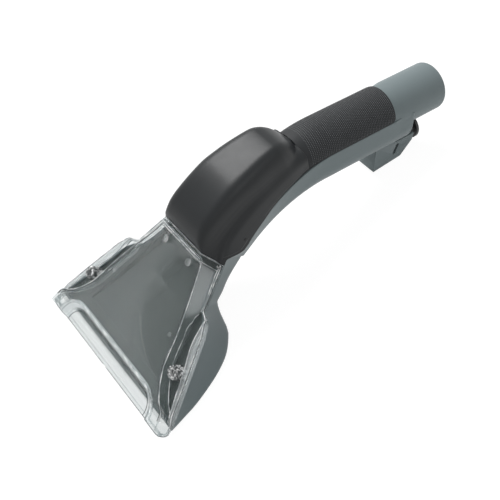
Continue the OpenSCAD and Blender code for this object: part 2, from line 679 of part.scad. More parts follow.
// Grey block under the handle that holds the inlet fitting
module inlet_block() color(grey) difference() {
  union() {
    difference() {
      block_side([[block_front, block_joint_z], [block_front, block_heel_z - block_slope],
        [block_rear, block_heel_z], [block_nose - 1, block_ledge - 5.4], [block_nose, block_ledge],
        [block_rear - 7, block_ledge], [block_rear - 7, block_joint_z]]);
      translate([0, 0, far / 2 + block_ledge - 6]) cube([far, block_w - 2 * wall, far], center = true);
      block_hollow();
    }
    block_walls();
  }
  spine_run(0, straight_len) handle_profile(body_r + 3 * clearance);
  inlet_rod(barrel_r + clearance, 0, bulkhead_x - 3);
  at_block_screws() {
    translate([0, 0, block_seat_z - 18]) cylinder(r = 2.2, h = 18);
    translate([0, 0, block_seat_z - 18]) cylinder(r = 1.3, h = far / 2);
  }
  for (side = [-1, 1]) hook_slot(side);
}

// Inside of the block between its side walls, above its sloping floor
module block_hollow() {
  rotate([90, 0, 0]) linear_extrude(block_w - 2 * wall, center = true) polygon([
    [block_front + wall, 0], [block_front + wall, block_heel_z - block_slope + wall],
    [block_rear, block_heel_z + wall], [block_nose - 2, block_ledge - 4], [block_nose + 1, block_ledge - 4],
    [block_nose + 1, 0]]);
}

// Front wall, bulkhead and screw bosses inside the block
module block_walls() {
  low = block_heel_z - block_slope / 2;
  high = block_joint_z - low;
  translate([block_front, -block_w / 2, low]) cube([wall, block_w, high]);
  translate([bulkhead_x, -block_w / 2, low]) cube([wall, block_w, high]);
  at_block_screws() translate([0, 0, low]) cylinder(r = 2.5, h = high);
}

// Window for the fitting's snap arm, a short slot that leans forward
module hook_slot(side) {
  translate([0, side * block_w / 2, 0]) rotate([90, 0, 0]) linear_extrude(3 * wall, center = true) {
    translate([-31.5, -29.5]) circle(1.3);
    translate([-33.5, -35]) circle(1.3);
    translate([-32.5, -32.25]) rotate([0, 0, -20]) square([2.6, 5.85], center = true);
  }
}

// Two screws that hold the block to the belly
module block_screws() color("#b9bcbd") at_block_screws() {
  translate([0, 0, block_seat_z - block_screw_head_h]) cylinder(r = 2, h = block_screw_head_h);
  translate([0, 0, block_seat_z - eps]) cylinder(r = 1.1, h = block_screw_len);
}

// ---- Inlet fitting and check valve ----

// Black socket for the hose's solution line, with an elbow up into the belly
module inlet_fitting() color(black) difference() {
  union() {
    inlet_rod(inlet_rim_r, inlet_mouth, inlet_mouth - 2);
    inlet_rod(barrel_r, inlet_mouth - 1, chamber_end - 1.5);
    inlet_rod(4, chamber_end - 1, elbow_x - 3.8);
    translate([elbow_x, 0, inlet_z]) cylinder(r = barb_r, h = 6.4);
    translate([elbow_x, 0, inlet_z]) cylinder(r = 3.4, h = 4.2);
    for (side = [-1, 1]) snap_arm(side);
  }
  inlet_rod(socket_r, 0, seat_x);
  inlet_rod(socket_r + 0.9, -23.2, -25);
  inlet_rod(chamber_r, 0, chamber_end);
  inlet_rod(1, 0, elbow_x);
  translate([elbow_x, 0, inlet_z]) cylinder(r = 1, h = 7);
}

// Arm at the barrel's side whose barb sits in the block's window
module snap_arm(side) {
  reach = block_w / 2 - wall - 0.3;
  translate([-35, side > 0 ? barrel_r - 1 : -reach, inlet_z - 3.4]) cube([9, reach - barrel_r + 1, 2.4]);
  translate([-32.6, side > 0 ? reach - 0.5 : -reach - 1.2, inlet_z - 3.2]) cube([1.8, 1.7, 1.8]);
}

// Ring seal in the socket's groove
module socket_seal() color("#1c1d1e") translate([-24.1, 0, inlet_z]) rotate([0, 90, 0])
  rotate_extrude() translate([socket_r + 0.1, 0]) circle(0.75, $fn = 24);

// Ring that the valve's seal closes against
module valve_seat() color("#b9bcbd") difference() {
  inlet_rod(socket_r - 0.05, seat_x + 1.5, seat_x);
  inlet_rod(2.2, 0, seat_x - 1);
}

// Valve body: a pin that the hose's nozzle pushes, with a head behind the seat
module check_poppet() color("#d8d5c8") {
  inlet_rod(1.2, pin_tip, poppet_back + 1);
  inlet_rod(poppet_r, seat_x - seat_gap - 0.8, poppet_back);
  inlet_rod(1.2, poppet_back + 1, chamber_end + valve_travel + clearance);
}

module poppet_seal() color("#1c1d1e") difference() {
  inlet_rod(poppet_r, seat_x - seat_gap, seat_x - seat_gap - 0.8);
  inlet_rod(1.2, 0, chamber_end);
}

// Coil spring between the valve's head and the end of its chamber
spring_turns = 5;
spring_steps = 12;
spring_coil_r = 2.2;
spring_wire_r = 0.35;

module poppet_spring() color("#c4c8ca") {
  length = poppet_back - chamber_end - 2 * spring_wire_r;
  count = spring_turns * spring_steps;
  sides = 6;
  rings = [for (i = [0:count]) let (turn = i * 360 / spring_steps)
    for (k = [0:sides - 1]) let (a = k * 360 / sides, r = spring_coil_r + spring_wire_r * cos(a))
      [chamber_end + spring_wire_r + length * i / count + spring_wire_r * sin(a),
        r * cos(turn), inlet_z + r * sin(turn)]];
  faces = [for (i = [0:count - 1]) for (k = [0:sides - 1])
    let (a = i * sides + k, b = i * sides + (k + 1) % sides) each [[a, b, b + sides], [a, b + sides, a + sides]]];
  caps = [[for (k = [sides - 1:-1:0]) k], [for (k = [0:sides - 1]) count * sides + k]];
  polyhedron(rings, concat(faces, caps));
}

// ---- Solution tube ----

// Point of the tube's middle line in the head
function head_point(u, v, rise) = [head_x(u, v), head_z(u, v), 180 + bend_angle - rise];

line_z = line_w - belly_drop;
line_v = line_w - head_rise;
rise_r = (tip_inlet_v - line_v) / (2 - 2 * cos(line_rise));
rise_run = rise_r * sin(line_rise);
line_end_u = tip_inlet_u - 7;
rise_u = line_end_u - 5 - 2 * rise_run;
line_points = [
  [elbow_x, inlet_z + 4.3, 90],
  for (t = [0:15:75]) [elbow_x - line_turn_r * (1 - cos(t)), line_z - line_turn_r * (1 - sin(t)), 90 + t],
  spine_point(line_turn_r - elbow_x, line_w),
  for (k = [0:8]) spine_point(straight_len + k / 8 * bend_len, line_w),
  for (t = [0:12:line_rise]) head_point(rise_u + rise_r * sin(t), line_v + rise_r * (1 - cos(t)), t),
  for (t = [line_rise - 12:-12:0])
    head_point(rise_u + 2 * rise_run - rise_r * sin(t), tip_inlet_v - rise_r * (1 - cos(t)), t),
  head_point(line_end_u, tip_inlet_v, 0)];

function line_circle(p, r, sides) = [for (k = [0:sides - 1]) let (a = k * 360 / sides)
  [p[0] - r * cos(a) * sin(p[2]), r * sin(a), p[1] + r * cos(a) * cos(p[2])]];

// Tube from the fitting's elbow through the belly to the spray tip
module solution_tube() color("#cfd6d4") shell_skin([for (p = line_points) line_circle(p, line_r, 12)],
  [for (p = line_points) line_circle(p, line_bore_r, 12)], true);

// Clips that hold the tube to the floor of the belly
clip_t = 4;
clip_places = [70, 125, 160];
function belly_at(s) = lookup(s, [[straight_len, body_r], [seat_s, neck_belly_r]]);

module tube_clips() color("#d8d5c8") for (s = clip_places) on_spine(s) linear_extrude(clip_t) difference() {
  union() {
    translate([line_w, 0]) circle(line_r + 1.3);
    translate([shell_wall + 0.3 - belly_at(s + clip_t), -2.5])
      square([line_w + belly_at(s + clip_t) - shell_wall - 0.3, 5]);
  }
  translate([line_w, 0]) circle(line_r + clearance);
  translate([line_w, -2.3]) square([10, 4.6]);
}

// ---- Spray tip ----

// Holder over the hole in the foot, with a barb for the tube
module tip_holder() color(black) {
  at_tip() difference() {
    union() {
      translate([0, 0, 1.6]) cylinder(r = tip_pocket_r - 0.6, h = tip_inlet + 2.4);
      translate([0, 0, ear_z + clearance]) hull() for (y = [-ear_y, ear_y]) translate([0, y, 0])
        cylinder(r = 2.6, h = 2, $fn = 32);
      tip_barb();
    }
    translate([0, 0, 1]) cylinder(r = tip_r + clearance, h = 9.8);
    cylinder(r = 1.2, h = tip_inlet);
    for (y = [-ear_y, ear_y]) translate([0, y, 0]) cylinder(r = 1.2, h = far);
  }
}

// Barb on the holder, toward the neck
module tip_barb() {
  translate([0, 0, tip_inlet]) rotate([0, foot_angle - 90, 0]) difference() {
    cylinder(r = barb_r, h = 12);
    cylinder(r = 1, h = 13);
  }
}

module spray_tip() color("#b08d4a") at_tip() difference() {
  translate([0, 0, 1.6]) cylinder(r = tip_r, h = 7.8);
  translate([0, 0, 3.2]) cylinder(r = 1.4, h = 8);
  cylinder(r = 0.5, h = 4);
  translate([0, 0, 1.6]) rotate([45, 0, 0]) cube([far / 2, 1.6, 1.6], center = true);
}

module tip_seal() color("#1c1d1e") at_tip() difference() {
  translate([0, 0, 9.4]) cylinder(r = tip_r, h = 1.3);
  translate([0, 0, 9]) cylinder(r = 1.4, h = 3);
}

module tip_screws() color("#b9bcbd") at_tip() for (y = [-ear_y, ear_y]) translate([0, y, 0]) {
  translate([0, 0, 2.4]) cylinder(r = 0.85, h = ear_z);
  translate([0, 0, ear_z + 2 + clearance]) cylinder(r = 1.5, h = 1.3);
}

laid() handle_tube();
laid() upper_shell();
laid() grip_sleeve();
laid() neck_shell();
laid() hood();
laid() air_duct();
laid() duct_seal();
laid() head_base();
laid() channel_floor();
laid() clear_cover();
laid() cover_screws();
laid() inlet_block();
laid() block_screws();
laid() inlet_fitting();
laid() socket_seal();
laid() valve_seat();
laid() check_poppet();
laid() poppet_seal();
laid() poppet_spring();
laid() solution_tube();
laid() tube_clips();
laid() tip_holder();
laid() spray_tip();
laid() tip_seal();
laid() tip_screws();
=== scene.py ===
import json
import math

import bmesh
import bpy
import numpy as np
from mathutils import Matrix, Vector


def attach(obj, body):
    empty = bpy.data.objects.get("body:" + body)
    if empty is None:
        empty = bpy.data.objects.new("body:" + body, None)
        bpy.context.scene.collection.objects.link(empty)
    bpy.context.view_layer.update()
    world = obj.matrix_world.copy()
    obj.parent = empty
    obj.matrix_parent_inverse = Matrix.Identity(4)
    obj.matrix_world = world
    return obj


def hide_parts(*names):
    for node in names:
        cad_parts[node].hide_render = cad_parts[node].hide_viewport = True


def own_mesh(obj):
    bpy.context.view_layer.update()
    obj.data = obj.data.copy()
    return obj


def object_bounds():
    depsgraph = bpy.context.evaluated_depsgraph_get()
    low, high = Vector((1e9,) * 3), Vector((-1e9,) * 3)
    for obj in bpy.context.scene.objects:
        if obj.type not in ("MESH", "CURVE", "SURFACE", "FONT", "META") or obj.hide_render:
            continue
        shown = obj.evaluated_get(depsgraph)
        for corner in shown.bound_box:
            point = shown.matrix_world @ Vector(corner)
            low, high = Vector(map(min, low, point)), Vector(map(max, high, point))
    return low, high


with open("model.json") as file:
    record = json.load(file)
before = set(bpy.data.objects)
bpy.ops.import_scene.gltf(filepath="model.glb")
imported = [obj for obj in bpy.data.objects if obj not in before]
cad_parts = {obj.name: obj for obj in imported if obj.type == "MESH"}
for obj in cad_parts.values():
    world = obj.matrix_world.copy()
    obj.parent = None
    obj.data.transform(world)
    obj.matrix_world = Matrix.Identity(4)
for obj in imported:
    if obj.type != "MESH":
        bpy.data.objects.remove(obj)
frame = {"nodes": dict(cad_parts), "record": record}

bl_info = {
    "name": "Carpet cleaner hand tool",
    "version": (1, 0, 0),
    "blender": (4, 5, 0),
    "location": "View3D > Sidebar > Hand Tool",
    "description": "Dresses the packed hand tool: moulded shells, grip, clear nozzle and stage",
    "category": "Add Mesh",
}

# ---- Where things are -------------------------------------------------------------------
# Sizes are in millimetres in the handle's frame: X out of the hose tube, Z to the grip.
# s is the distance along the handle from the tube's end. In the head's frame, u runs from the
# neck to the mouth, y to the side and v out of the clear cover.

MM = 0.001
MOUNTS = {mount["name"]: mount for mount in frame["record"]["mounts"]}
OUT = np.array(MOUNTS["hose_spigot"]["axis"], float)
SIDE = np.array([0.0, 1.0, 0.0])
BASIS = np.array([OUT, SIDE, np.cross(OUT, SIDE)])
TUBE_END = np.array(MOUNTS["hose_spigot"]["pos_m"]) + 12 * MM * OUT
BORE_R = MOUNTS["hose_bore"]["dims"]["r_mm"]
TUBE_R = MOUNTS["hose_spigot"]["dims"]["r_mm"]
CAD_BOX = [list(corner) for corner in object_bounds()]

# Handle: its round section, the depth of its belly, its straight run and its bend
BODY_R = 16.4
BELLY_DROP = 10.0
STRAIGHT = 95.0
BEND_R = 90.0
BEND = math.radians(44)
BEND_LEN = BEND_R * BEND
BEND_END = STRAIGHT + BEND_LEN
# Neck: where it ends, the base's rear end, the lower shell's end and the head's height there
NECK_S = BEND_END + 16.5
BASE_REAR = -3.4
SEAT_S = NECK_S + BASE_REAR - 0.2
HEAD_RISE = 38.0
# Seam of black and grey, the tube's length, the end of the grip, and the lower shell's tail and wall
SEAM_W = BELLY_DROP + 1
TUBE_LEN = 45.0
GRIP_S = TUBE_LEN + 68
TAIL_S = 27.0
SHELL = 2.0

# Head: its length, and the heights of the cover's flange, the base's rim, the channel and the lip
HEAD_LEN = 100.5
FLANGE_V = -12.3
PLATE_V = -14.1
CHANNEL_V = -4.3
LIP_TOP_V = -10.3
LIP_EDGE_V = -13.3
# Half widths at the neck and the mouth, the base's front end, and how far the mouth leans out
NECK_HALF = 27.5
MOUTH_HALF = 66.0
BASE_FRONT = 92.8
MOUTH_LEAN = 1.7
# Slope of the foot's plane in the head's frame, and the base's gap over it
FOOT_SLOPE = math.tan(math.radians(30))
FOOT_GAP = 0.3

# Screw tower in a side pocket: distance from the neck, side, height of its top and radius
TOWER = (0.64 * HEAD_LEN, MOUTH_HALF - 18.5, CHANNEL_V - 0.5, 4.6)

# Distance from the neck and half width of the cover's flange
FLANGE = [(0, 27.5), (28, 36), (30.4, 42), (39, 46.8), (56.3, 53), (77.4, 60.3), (91, 65),
          (96, MOUTH_HALF), (101, MOUTH_HALF)]


def soft_max(a, b, r):
    """The greater of two values, blended over about r where they are close."""
    return 0.5 * (a + b + np.sqrt((a - b) ** 2 + r * r))


def soft_min(a, b, r):
    """The lesser of two values, blended over about r where they are close."""
    return 0.5 * (a + b - np.sqrt((a - b) ** 2 + r * r))


def ease(t):
    """Smooth step from 0 to 1."""
    t = np.clip(t, 0, 1)
    return t * t * (3 - 2 * t)


def full_turn(sides):
    """Angles of the points of a ring."""
    return np.linspace(0, 2 * math.pi, sides, endpoint=False)


def placed(points):
    """Handle-frame millimetres to metres in the part's own frame."""
    return np.asarray(points, float) @ BASIS * MM + TUBE_END


def on_spine(s, w, y):
    """Points at height w over the belly's centre line, s along it and y to the side."""
    s, w, y = np.broadcast_arrays(np.asarray(s, float), w, y)
    turn = np.clip((s - STRAIGHT) / BEND_LEN, 0, 1) * BEND
    run = np.maximum(s - BEND_END, 0)
    x = -np.minimum(s, STRAIGHT) - (BEND_R + w) * np.sin(turn) - run * np.cos(turn)
    z = (BEND_R + w) * np.cos(turn) - BELLY_DROP - BEND_R - run * np.sin(turn)
    return np.stack([x, y, z], -1)


def in_head(u, y, v):
    """Points u from the neck to the mouth, y to the side and v out of the cover."""
    u, y, v = np.broadcast_arrays(np.asarray(u, float), y, v)
    neck = on_spine(NECK_S, HEAD_RISE, 0)
    along = np.array([-math.cos(BEND), 0, -math.sin(BEND)])
    out = np.array([-math.sin(BEND), 0, math.cos(BEND)])
    return neck + u[..., None] * along + v[..., None] * out + y[..., None] * SIDE


def from_head(points):
    """Distance from the neck, side and height of points placed in the part's own frame."""
    corners = placed(in_head(np.array([0, 1, 0, 0]), np.array([0, 0, 1, 0]), np.array([0, 0, 0, 1])))
    axes = (corners[1:] - corners[0]).T
    return np.linalg.solve(axes, (points - corners[0]).T).T


def curve(x, rows, column=1):
    """Smooth curve without overshoot through a table's rows."""
    xs = np.array([row[0] for row in rows], float)
    ys = np.array([row[column] for row in rows], float)
    step = np.diff(xs)
    rise = np.diff(ys) / step
    slope = np.zeros_like(ys)
    product = rise[:-1] * rise[1:]
    slope[1:-1] = np.where(product > 0, 2 * product / (rise[:-1] + rise[1:] + 1e-12), 0)
    slope[0], slope[-1] = rise[0], rise[-1]
    x = np.clip(x, xs[0], xs[-1])
    i = np.clip(np.searchsorted(xs, x) - 1, 0, len(step) - 1)
    t = (x - xs[i]) / step[i]
    return (ys[i] * (1 + 2 * t) * (1 - t) ** 2 + slope[i] * step[i] * t * (1 - t) ** 2
            + ys[i + 1] * t * t * (3 - 2 * t) + slope[i + 1] * step[i] * t * t * (t - 1))


def rounded_line(points, reaches, steps=6):
    """Polyline whose inner corners are rounded, each by its own reach."""
    points = np.asarray(points, float)
    out = [points[0]]
    for before, corner, after, reach in zip(points, points[1:], points[2:], reaches):
        a, b = before - corner, after - corner
        la, lb = np.linalg.norm(a), np.linalg.norm(b)
        p = corner + a / la * min(reach, 0.48 * la)
        q = corner + b / lb * min(reach, 0.48 * lb)
        t = np.linspace(0, 1, steps + 1)[:, None]
        out.extend((1 - t) ** 2 * p + 2 * t * (1 - t) * corner + t * t * q)
    out.append(points[-1])
    return np.array(out)


def both_sides(half):
    """Whole outline from a half that runs from the middle out, as (height, side) pairs."""
    half = np.asarray(half)
    return np.concatenate([half[:0:-1] * [1, -1], half])


# ---- Meshes -----------------------------------------------------------------------------

def new_object(name, data):
    """Object of a mesh, a lamp or a camera, in the scene."""
    made = bpy.data.objects.new(name, data)
    bpy.context.scene.collection.objects.link(made)
    return made


def mesh_points(mesh):
    """Places of a mesh's vertices, in metres."""
    flat = np.empty(len(mesh.vertices) * 3)
    mesh.vertices.foreach_get("co", flat)
    return flat.reshape(-1, 3)


def new_piece(name, vertices, faces, slot, finish, angle=35):
    """Mesh object from handle-frame points, with smooth shading up to an edge angle."""
    mesh = bpy.data.meshes.new(name)
    mesh.from_pydata(placed(vertices).tolist(), [], [tuple(face) for face in faces])
    mesh.validate()
    piece = new_object(name, mesh)
    finish_mesh(piece, finish, angle)
    return piece


def finish_mesh(piece, finish, angle=35):
    """Gives a piece its one finish and smooth shading up to an edge angle."""
    mesh = piece.data
    mesh.materials.clear()
    mesh.materials.append(MATERIALS[finish])
    mesh.polygons.foreach_set("use_smooth", [True] * len(mesh.polygons))
    mesh.set_sharp_from_angle(angle=math.radians(angle))


def outward(mesh):
    """Turns every face of a closed mesh to point out."""
    shape = bmesh.new()
    shape.from_mesh(mesh)
    bmesh.ops.remove_doubles(shape, verts=shape.verts, dist=1e-6)
    bmesh.ops.recalc_face_normals(shape, faces=shape.faces)
    shape.to_mesh(mesh)
    shape.free()


def joined(parts):
    """Vertices and faces of several small shapes as one."""
    points, faces = [], []
    for vertices, corners in parts:
        faces += [tuple(len(points) + k for k in face) for face in corners]
        points += list(vertices)
    return points, faces


def closed_piece(name, parts, slot, finish, angle=35):
    """One piece made of closed shapes, its faces turned out."""
    piece = new_piece(name, *joined(parts), slot, finish, angle)
    outward(piece.data)
    finish_mesh(piece, finish, angle)
    return piece


def net(rows, columns, wrap_rows=False, wrap_columns=False):
    """Faces of a net of rows x columns points."""
    faces = []
    for i in range(rows if wrap_rows else rows - 1):
        for k in range(columns if wrap_columns else columns - 1):
            j, m = (i + 1) % rows, (k + 1) % columns
            faces.append((i * columns + k, i * columns + m, j * columns + m, j * columns + k))
    return faces


def shell_piece(name, outer, inner, slot, finish, edge, angle=40):
    """Open trough with a wall: outer and inner nets of equal size, joined round their borders."""
    rows, columns = outer.shape[:2]
    shift = rows * columns
    faces = net(rows, columns)
    faces += [tuple(shift + k for k in face[::-1]) for face in net(rows, columns)]
    border = list(range(columns)) + [i * columns + columns - 1 for i in range(1, rows)]
    border += [(rows - 1) * columns + k for k in range(columns - 2, -1, -1)]
    border += [i * columns for i in range(rows - 2, 0, -1)]
    for a, b in zip(border, border[1:] + border[:1]):
        faces.append((b, a, shift + a, shift + b))
    points = np.concatenate([outer.reshape(-1, 3), inner.reshape(-1, 3)])
    piece = new_piece(name, points, faces, slot, finish, angle)
    outward(piece.data)
    soften(piece, edge)
    finish_mesh(piece, finish, angle)
    return piece


def soften(piece, width, segments=3, limit=50):
    """Rounds the edges sharper than a limit by a bevel and keeps the result as a plain mesh."""
    if width > 0:
        bevel = piece.modifiers.new("edges", "BEVEL")
        bevel.width = width * MM
        bevel.segments = segments
        bevel.limit_method = "ANGLE"
        bevel.angle_limit = math.radians(limit)
        bevel.use_clamp_overlap = True
        bake(piece)


def bake(piece):
    """Replaces a piece's mesh by what its modifiers make of it."""
    bpy.context.view_layer.update()
    result = bpy.data.meshes.new_from_object(piece.evaluated_get(bpy.context.evaluated_depsgraph_get()))
    piece.modifiers.clear()
    piece.data = result


def turned(profile, sides=96):
    """Closed shape of (x, radius) pairs turned about the tube's axis."""
    profile = np.asarray(profile, float)
    turn = full_turn(sides)
    points = np.stack([np.broadcast_to(profile[:, 0], (sides, len(profile))),
                       np.cos(turn)[:, None] * profile[:, 1], np.sin(turn)[:, None] * profile[:, 1]], -1)
    return points.reshape(-1, 3), net(sides, len(profile), True, True)


def merged_copy(name, node, flat_angle=0):
    """Copy of a CAD node with its triangles merged, and with flat ones joined up to an angle."""
    shape = bmesh.new()
    shape.from_mesh(frame["nodes"][node].data)
    bmesh.ops.remove_doubles(shape, verts=shape.verts, dist=2e-6)
    if flat_angle:
        bmesh.ops.dissolve_limit(shape, angle_limit=math.radians(flat_angle), verts=shape.verts,
                                 edges=shape.edges)
    mesh = bpy.data.meshes.new(name)
    shape.to_mesh(mesh)
    shape.free()
    return new_object(name, mesh)


def rounded_copy(name, node, width, finish):
    """Copy of a CAD node with its sharp edges rounded, standing for that node."""
    piece = merged_copy(name, node, 1.5)
    soften(piece, width, 2, 35)
    finish_mesh(piece, finish, 30)
    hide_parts(node)
    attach(piece, "tool")


# ---- Materials --------------------------------------------------------------------------

def new_node(tree, kind, settings=None, inputs=None):
    """Adds a node, makes its settings, then links or sets its sockets."""
    node = tree.nodes.new(kind)
    for name, value in (settings or {}).items():
        setattr(node, name, value)
    for key, value in (inputs or {}).items():
        if isinstance(value, bpy.types.NodeSocket):
            tree.links.new(value, node.inputs[key])
        else:
            node.inputs[key].default_value = value
    return node


def linear(code):
    """Linear colour of a hex code."""
    parts = [int(code[k:k + 2], 16) / 255 for k in (1, 3, 5)]
    return tuple(c / 12.92 if c <= 0.04045 else ((c + 0.055) / 1.055) ** 2.4 for c in parts) + (1.0,)


class Wire:
    """An output socket that is added, subtracted and multiplied as a number is."""

    def __init__(self, recipe, socket):
        self.recipe, self.socket = recipe, socket

    def math(self, operation, *others):
        return self.recipe.node("ShaderNodeMath", {"operation": operation}, dict(enumerate((self,) + others)))

    def __add__(self, other):
        return self.math("ADD", other)

    def __sub__(self, other):
        return self.math("SUBTRACT", other)

    def __mul__(self, other):
        return self.math("MULTIPLY", other)

    def __rsub__(self, other):
        return self.recipe.node("ShaderNodeMath", {"operation": "SUBTRACT"}, {0: other, 1: self})

    __radd__, __rmul__ = __add__, __mul__

    def clamp(self):
        return self.math("MINIMUM", 1.0).math("MAXIMUM", 0.0)


class Recipe:
    """The node tree of a material or a world, written as expressions."""

    def __init__(self, owner):
        self.owner = owner
        owner.use_nodes = True
        self.tree = owner.node_tree
        self.tree.nodes.clear()

    def node(self, kind, settings=None, inputs=None, output=0):
        """Adds a node and gives back one of its outputs."""
        inputs = {key: value.socket if isinstance(value, Wire) else value
                  for key, value in (inputs or {}).items()}
        return Wire(self, new_node(self.tree, kind, settings, inputs).outputs[output])

    def noise(self, scale, detail=3.0, rough=0.5, stretch=(1, 1, 1)):
        """Noise over the piece, in metres of its own place."""
        spot = self.node("ShaderNodeTexCoord", output="Object")
        place = self.node("ShaderNodeMapping", {}, {"Vector": spot, "Scale": stretch})
        return self.node("ShaderNodeTexNoise", {}, {"Vector": place, "Scale": scale, "Detail": detail,
                                                    "Roughness": rough})

    def mix(self, factor, a, b):
        """Colour between a and b."""
        return self.node("ShaderNodeMix", {"data_type": "RGBA"}, {0: factor, 6: a, 7: b}, 2)

    def bump(self, height, strength, depth):
        """Surface normal, tilted by a height."""
        return self.node("ShaderNodeBump", {}, {"Strength": strength, "Distance": depth, "Height": height})

    def shader(self, **inputs):
        """Shader of plastic, rubber or metal, its sockets named with underscores."""
        named = {key.replace("_", " "): value for key, value in inputs.items()}
        return self.node("ShaderNodeBsdfPrincipled", {}, named)

    def blend(self, share, first, second):
        """Shader between two others."""
        return self.node("ShaderNodeMixShader", {}, {0: share, 1: first, 2: second})

    def surface(self, shader, end="ShaderNodeOutputMaterial"):
        """Ends the tree in a shader and gives back what it belongs to."""
        self.tree.links.new(shader.socket, self.tree.nodes.new(end).inputs["Surface"])
        return self.owner


def material_recipe(name):
    """Recipe of a new material."""
    return Recipe(bpy.data.materials.new(name))


def moulded(name, code, rough, *, grain=1400.0, mottle=0.06, specular=0.4):
    """Moulded plastic: faint mottling of the colour, fine surface grain and soft scuffs."""
    recipe = material_recipe(name)
    colour = linear(code)
    cloud = recipe.noise(38.0, 4.0, 0.6)
    dark = tuple(c * (1 - mottle) for c in colour[:3]) + (1.0,)
    pale = tuple(min(c * (1 + mottle), 1) for c in colour[:3]) + (1.0,)
    fine = recipe.noise(grain, 2.0, 0.6)
    scuff = recipe.noise(160.0, 5.0, 0.7, (1.0, 1.0, 4.0))
    shine = (cloud * 0.10 + scuff * 0.12 + (rough - 0.11)).clamp()
    return recipe.surface(recipe.shader(
        Base_Color=recipe.mix(cloud, dark, pale), Roughness=shine, Specular_IOR_Level=specular,
        Normal=recipe.bump(fine + cloud * 2.0, 0.5, 0.00002)))


def clear_plastic(name, code):
    """Clear plastic that refracts and lets part of the light straight through; at grazing angles and at its
    crests a white shader that glows a little is mixed in, a painted highlight.
    """
    recipe = material_recipe(name)
    wave = recipe.noise(30.0, 2.0, 0.5)
    fine = recipe.noise(600.0, 2.0, 0.5)
    normal = recipe.bump(wave + fine * 0.002, 0.12, 0.0001)
    body = recipe.shader(Base_Color=recipe.mix(wave, linear(code), linear("#f6f8f8")), IOR=1.49,
                         Transmission_Weight=1.0, Roughness=(wave * 0.03 + 0.01).clamp(), Normal=normal)
    see = recipe.node("ShaderNodeBsdfTransparent", {}, {"Color": linear(code)})
    edge = recipe.node("ShaderNodeLayerWeight", {}, {"Blend": 0.5, "Normal": normal}, "Facing")
    # The attribute read here marks where a painted highlight lies on the cover
    painted_highlight = recipe.node("ShaderNodeAttribute", {"attribute_name": "painted_highlight"}, {}, 2)
    bent = 1 - recipe.node("ShaderNodeAttribute", {"attribute_name": "plain"}, {}, 2)
    clear = recipe.blend((bent * (edge * edge * 3.3 + 1)).clamp(), see, body)
    # Near-white shader with a faint glow though it is no lamp: a painted highlight, shown at grazing angles
    # and where the attribute says
    painted_glow = recipe.shader(Base_Color=recipe.mix(wave, linear("#e6ebec"), linear("#fafbfb")), Roughness=0.15,
                          Emission_Color=linear("#dfe9ec"), Emission_Strength=0.22)
    grazing = ((edge - 0.62) * 2.6).clamp() * (bent * 4.7).clamp()
    return recipe.surface(recipe.blend(grazing.math("MAXIMUM", painted_highlight), clear, painted_glow))


def edge_plastic(name, pale, dark, cover, grain):
    """Clear plastic painted in noisy patches between a pale and a dark colour, partly see-through: the
    painted glints and painted shade of the edge beads and the tower, and the pale moulding marks.
    """
    recipe = material_recipe(name)
    patches = recipe.noise(grain, 2.0, 0.7)
    share = ((patches - 0.42) * 5.0).clamp()
    body = recipe.shader(Base_Color=recipe.mix(share, linear(dark), linear(pale)), Roughness=0.12,
                         Specular_IOR_Level=0.7, Normal=recipe.bump(patches, 0.6, 0.0003))
    see = recipe.node("ShaderNodeBsdfTransparent", {}, {"Color": linear("#eef0f0")})
    return recipe.surface(recipe.blend((share * 0.3 + cover).clamp(), see, body))


def metal(name, code):
    """Turned or drawn metal with fine lines across one direction."""
    recipe = material_recipe(name)
    lines = recipe.noise(900.0, 3.0, 0.6, (1, 1, 12))
    colour = linear(code)
    dull = tuple(c * 0.8 for c in colour[:3]) + (1.0,)
    return recipe.surface(recipe.shader(Base_Color=recipe.mix(lines, dull, colour), Metallic=1.0,
                                        Roughness=(lines * 0.2 + 0.2).clamp(),
                                        Normal=recipe.bump(lines, 0.3, 0.00001)))


MATERIALS = {}


def make_materials(look):
    """All finishes, in the colours that the settings give."""
    MATERIALS.update(
        grey_plastic=moulded("grey plastic", look.grey_code, 0.5, mottle=0.04, specular=0.3),
        floor_plastic=moulded("floor plastic", look.floor_code, 0.55, mottle=0.04, specular=0.2),
        black_plastic=moulded("black satin plastic", look.hood_code, 0.38, mottle=0.12, specular=0.3),
        dark_plastic=moulded("dark inner plastic", "#303234", 0.55),
        grip_rubber=moulded("grip rubber", look.grip_code, 0.62, grain=2600.0, mottle=0.12, specular=0.3),
        natural_plastic=moulded("natural plastic", "#dcd9cc", 0.5),
        tube_plastic=moulded("tube plastic", "#cfd6d4", 0.35, specular=0.5),
        seal_rubber=moulded("seal rubber", "#1c1d1e", 0.6),
        fitting_plastic=moulded("fitting plastic", "#232526", 0.42, specular=0.5),
        clear_plastic=clear_plastic("clear plastic", "#eceeee"),
        # Beads along the cover's edges painted with glints and with shade
        bright_edge=edge_plastic("painted glint on clear edge", "#ffffff", "#b4bbbd", 0.62, 130.0),
        dark_edge=edge_plastic("painted shade on clear edge", "#70787b", "#34393b", 0.5, 130.0),
        # The tower's white and dark patches are painted sparkle, painted glints
        facets=edge_plastic("clear tower with painted sparkle", "#ffffff", "#3c4143", 0.55, 420.0),
        mark=edge_plastic("moulding mark", "#ffffff", "#dfe4e5", 0.06, 60.0),
        # The dashes are the grip's own rubber painted lighter: a painted sheen
        grip_dash=moulded("raised grip rubber with painted sheen", look.dash_highlight_code, 0.45, grain=2600.0, mottle=0.2),
        steel=metal("bright steel", "#b9bcbd"),
        brass=metal("turned brass", "#b89552"))


# ---- Node trees for what repeats --------------------------------------------------------

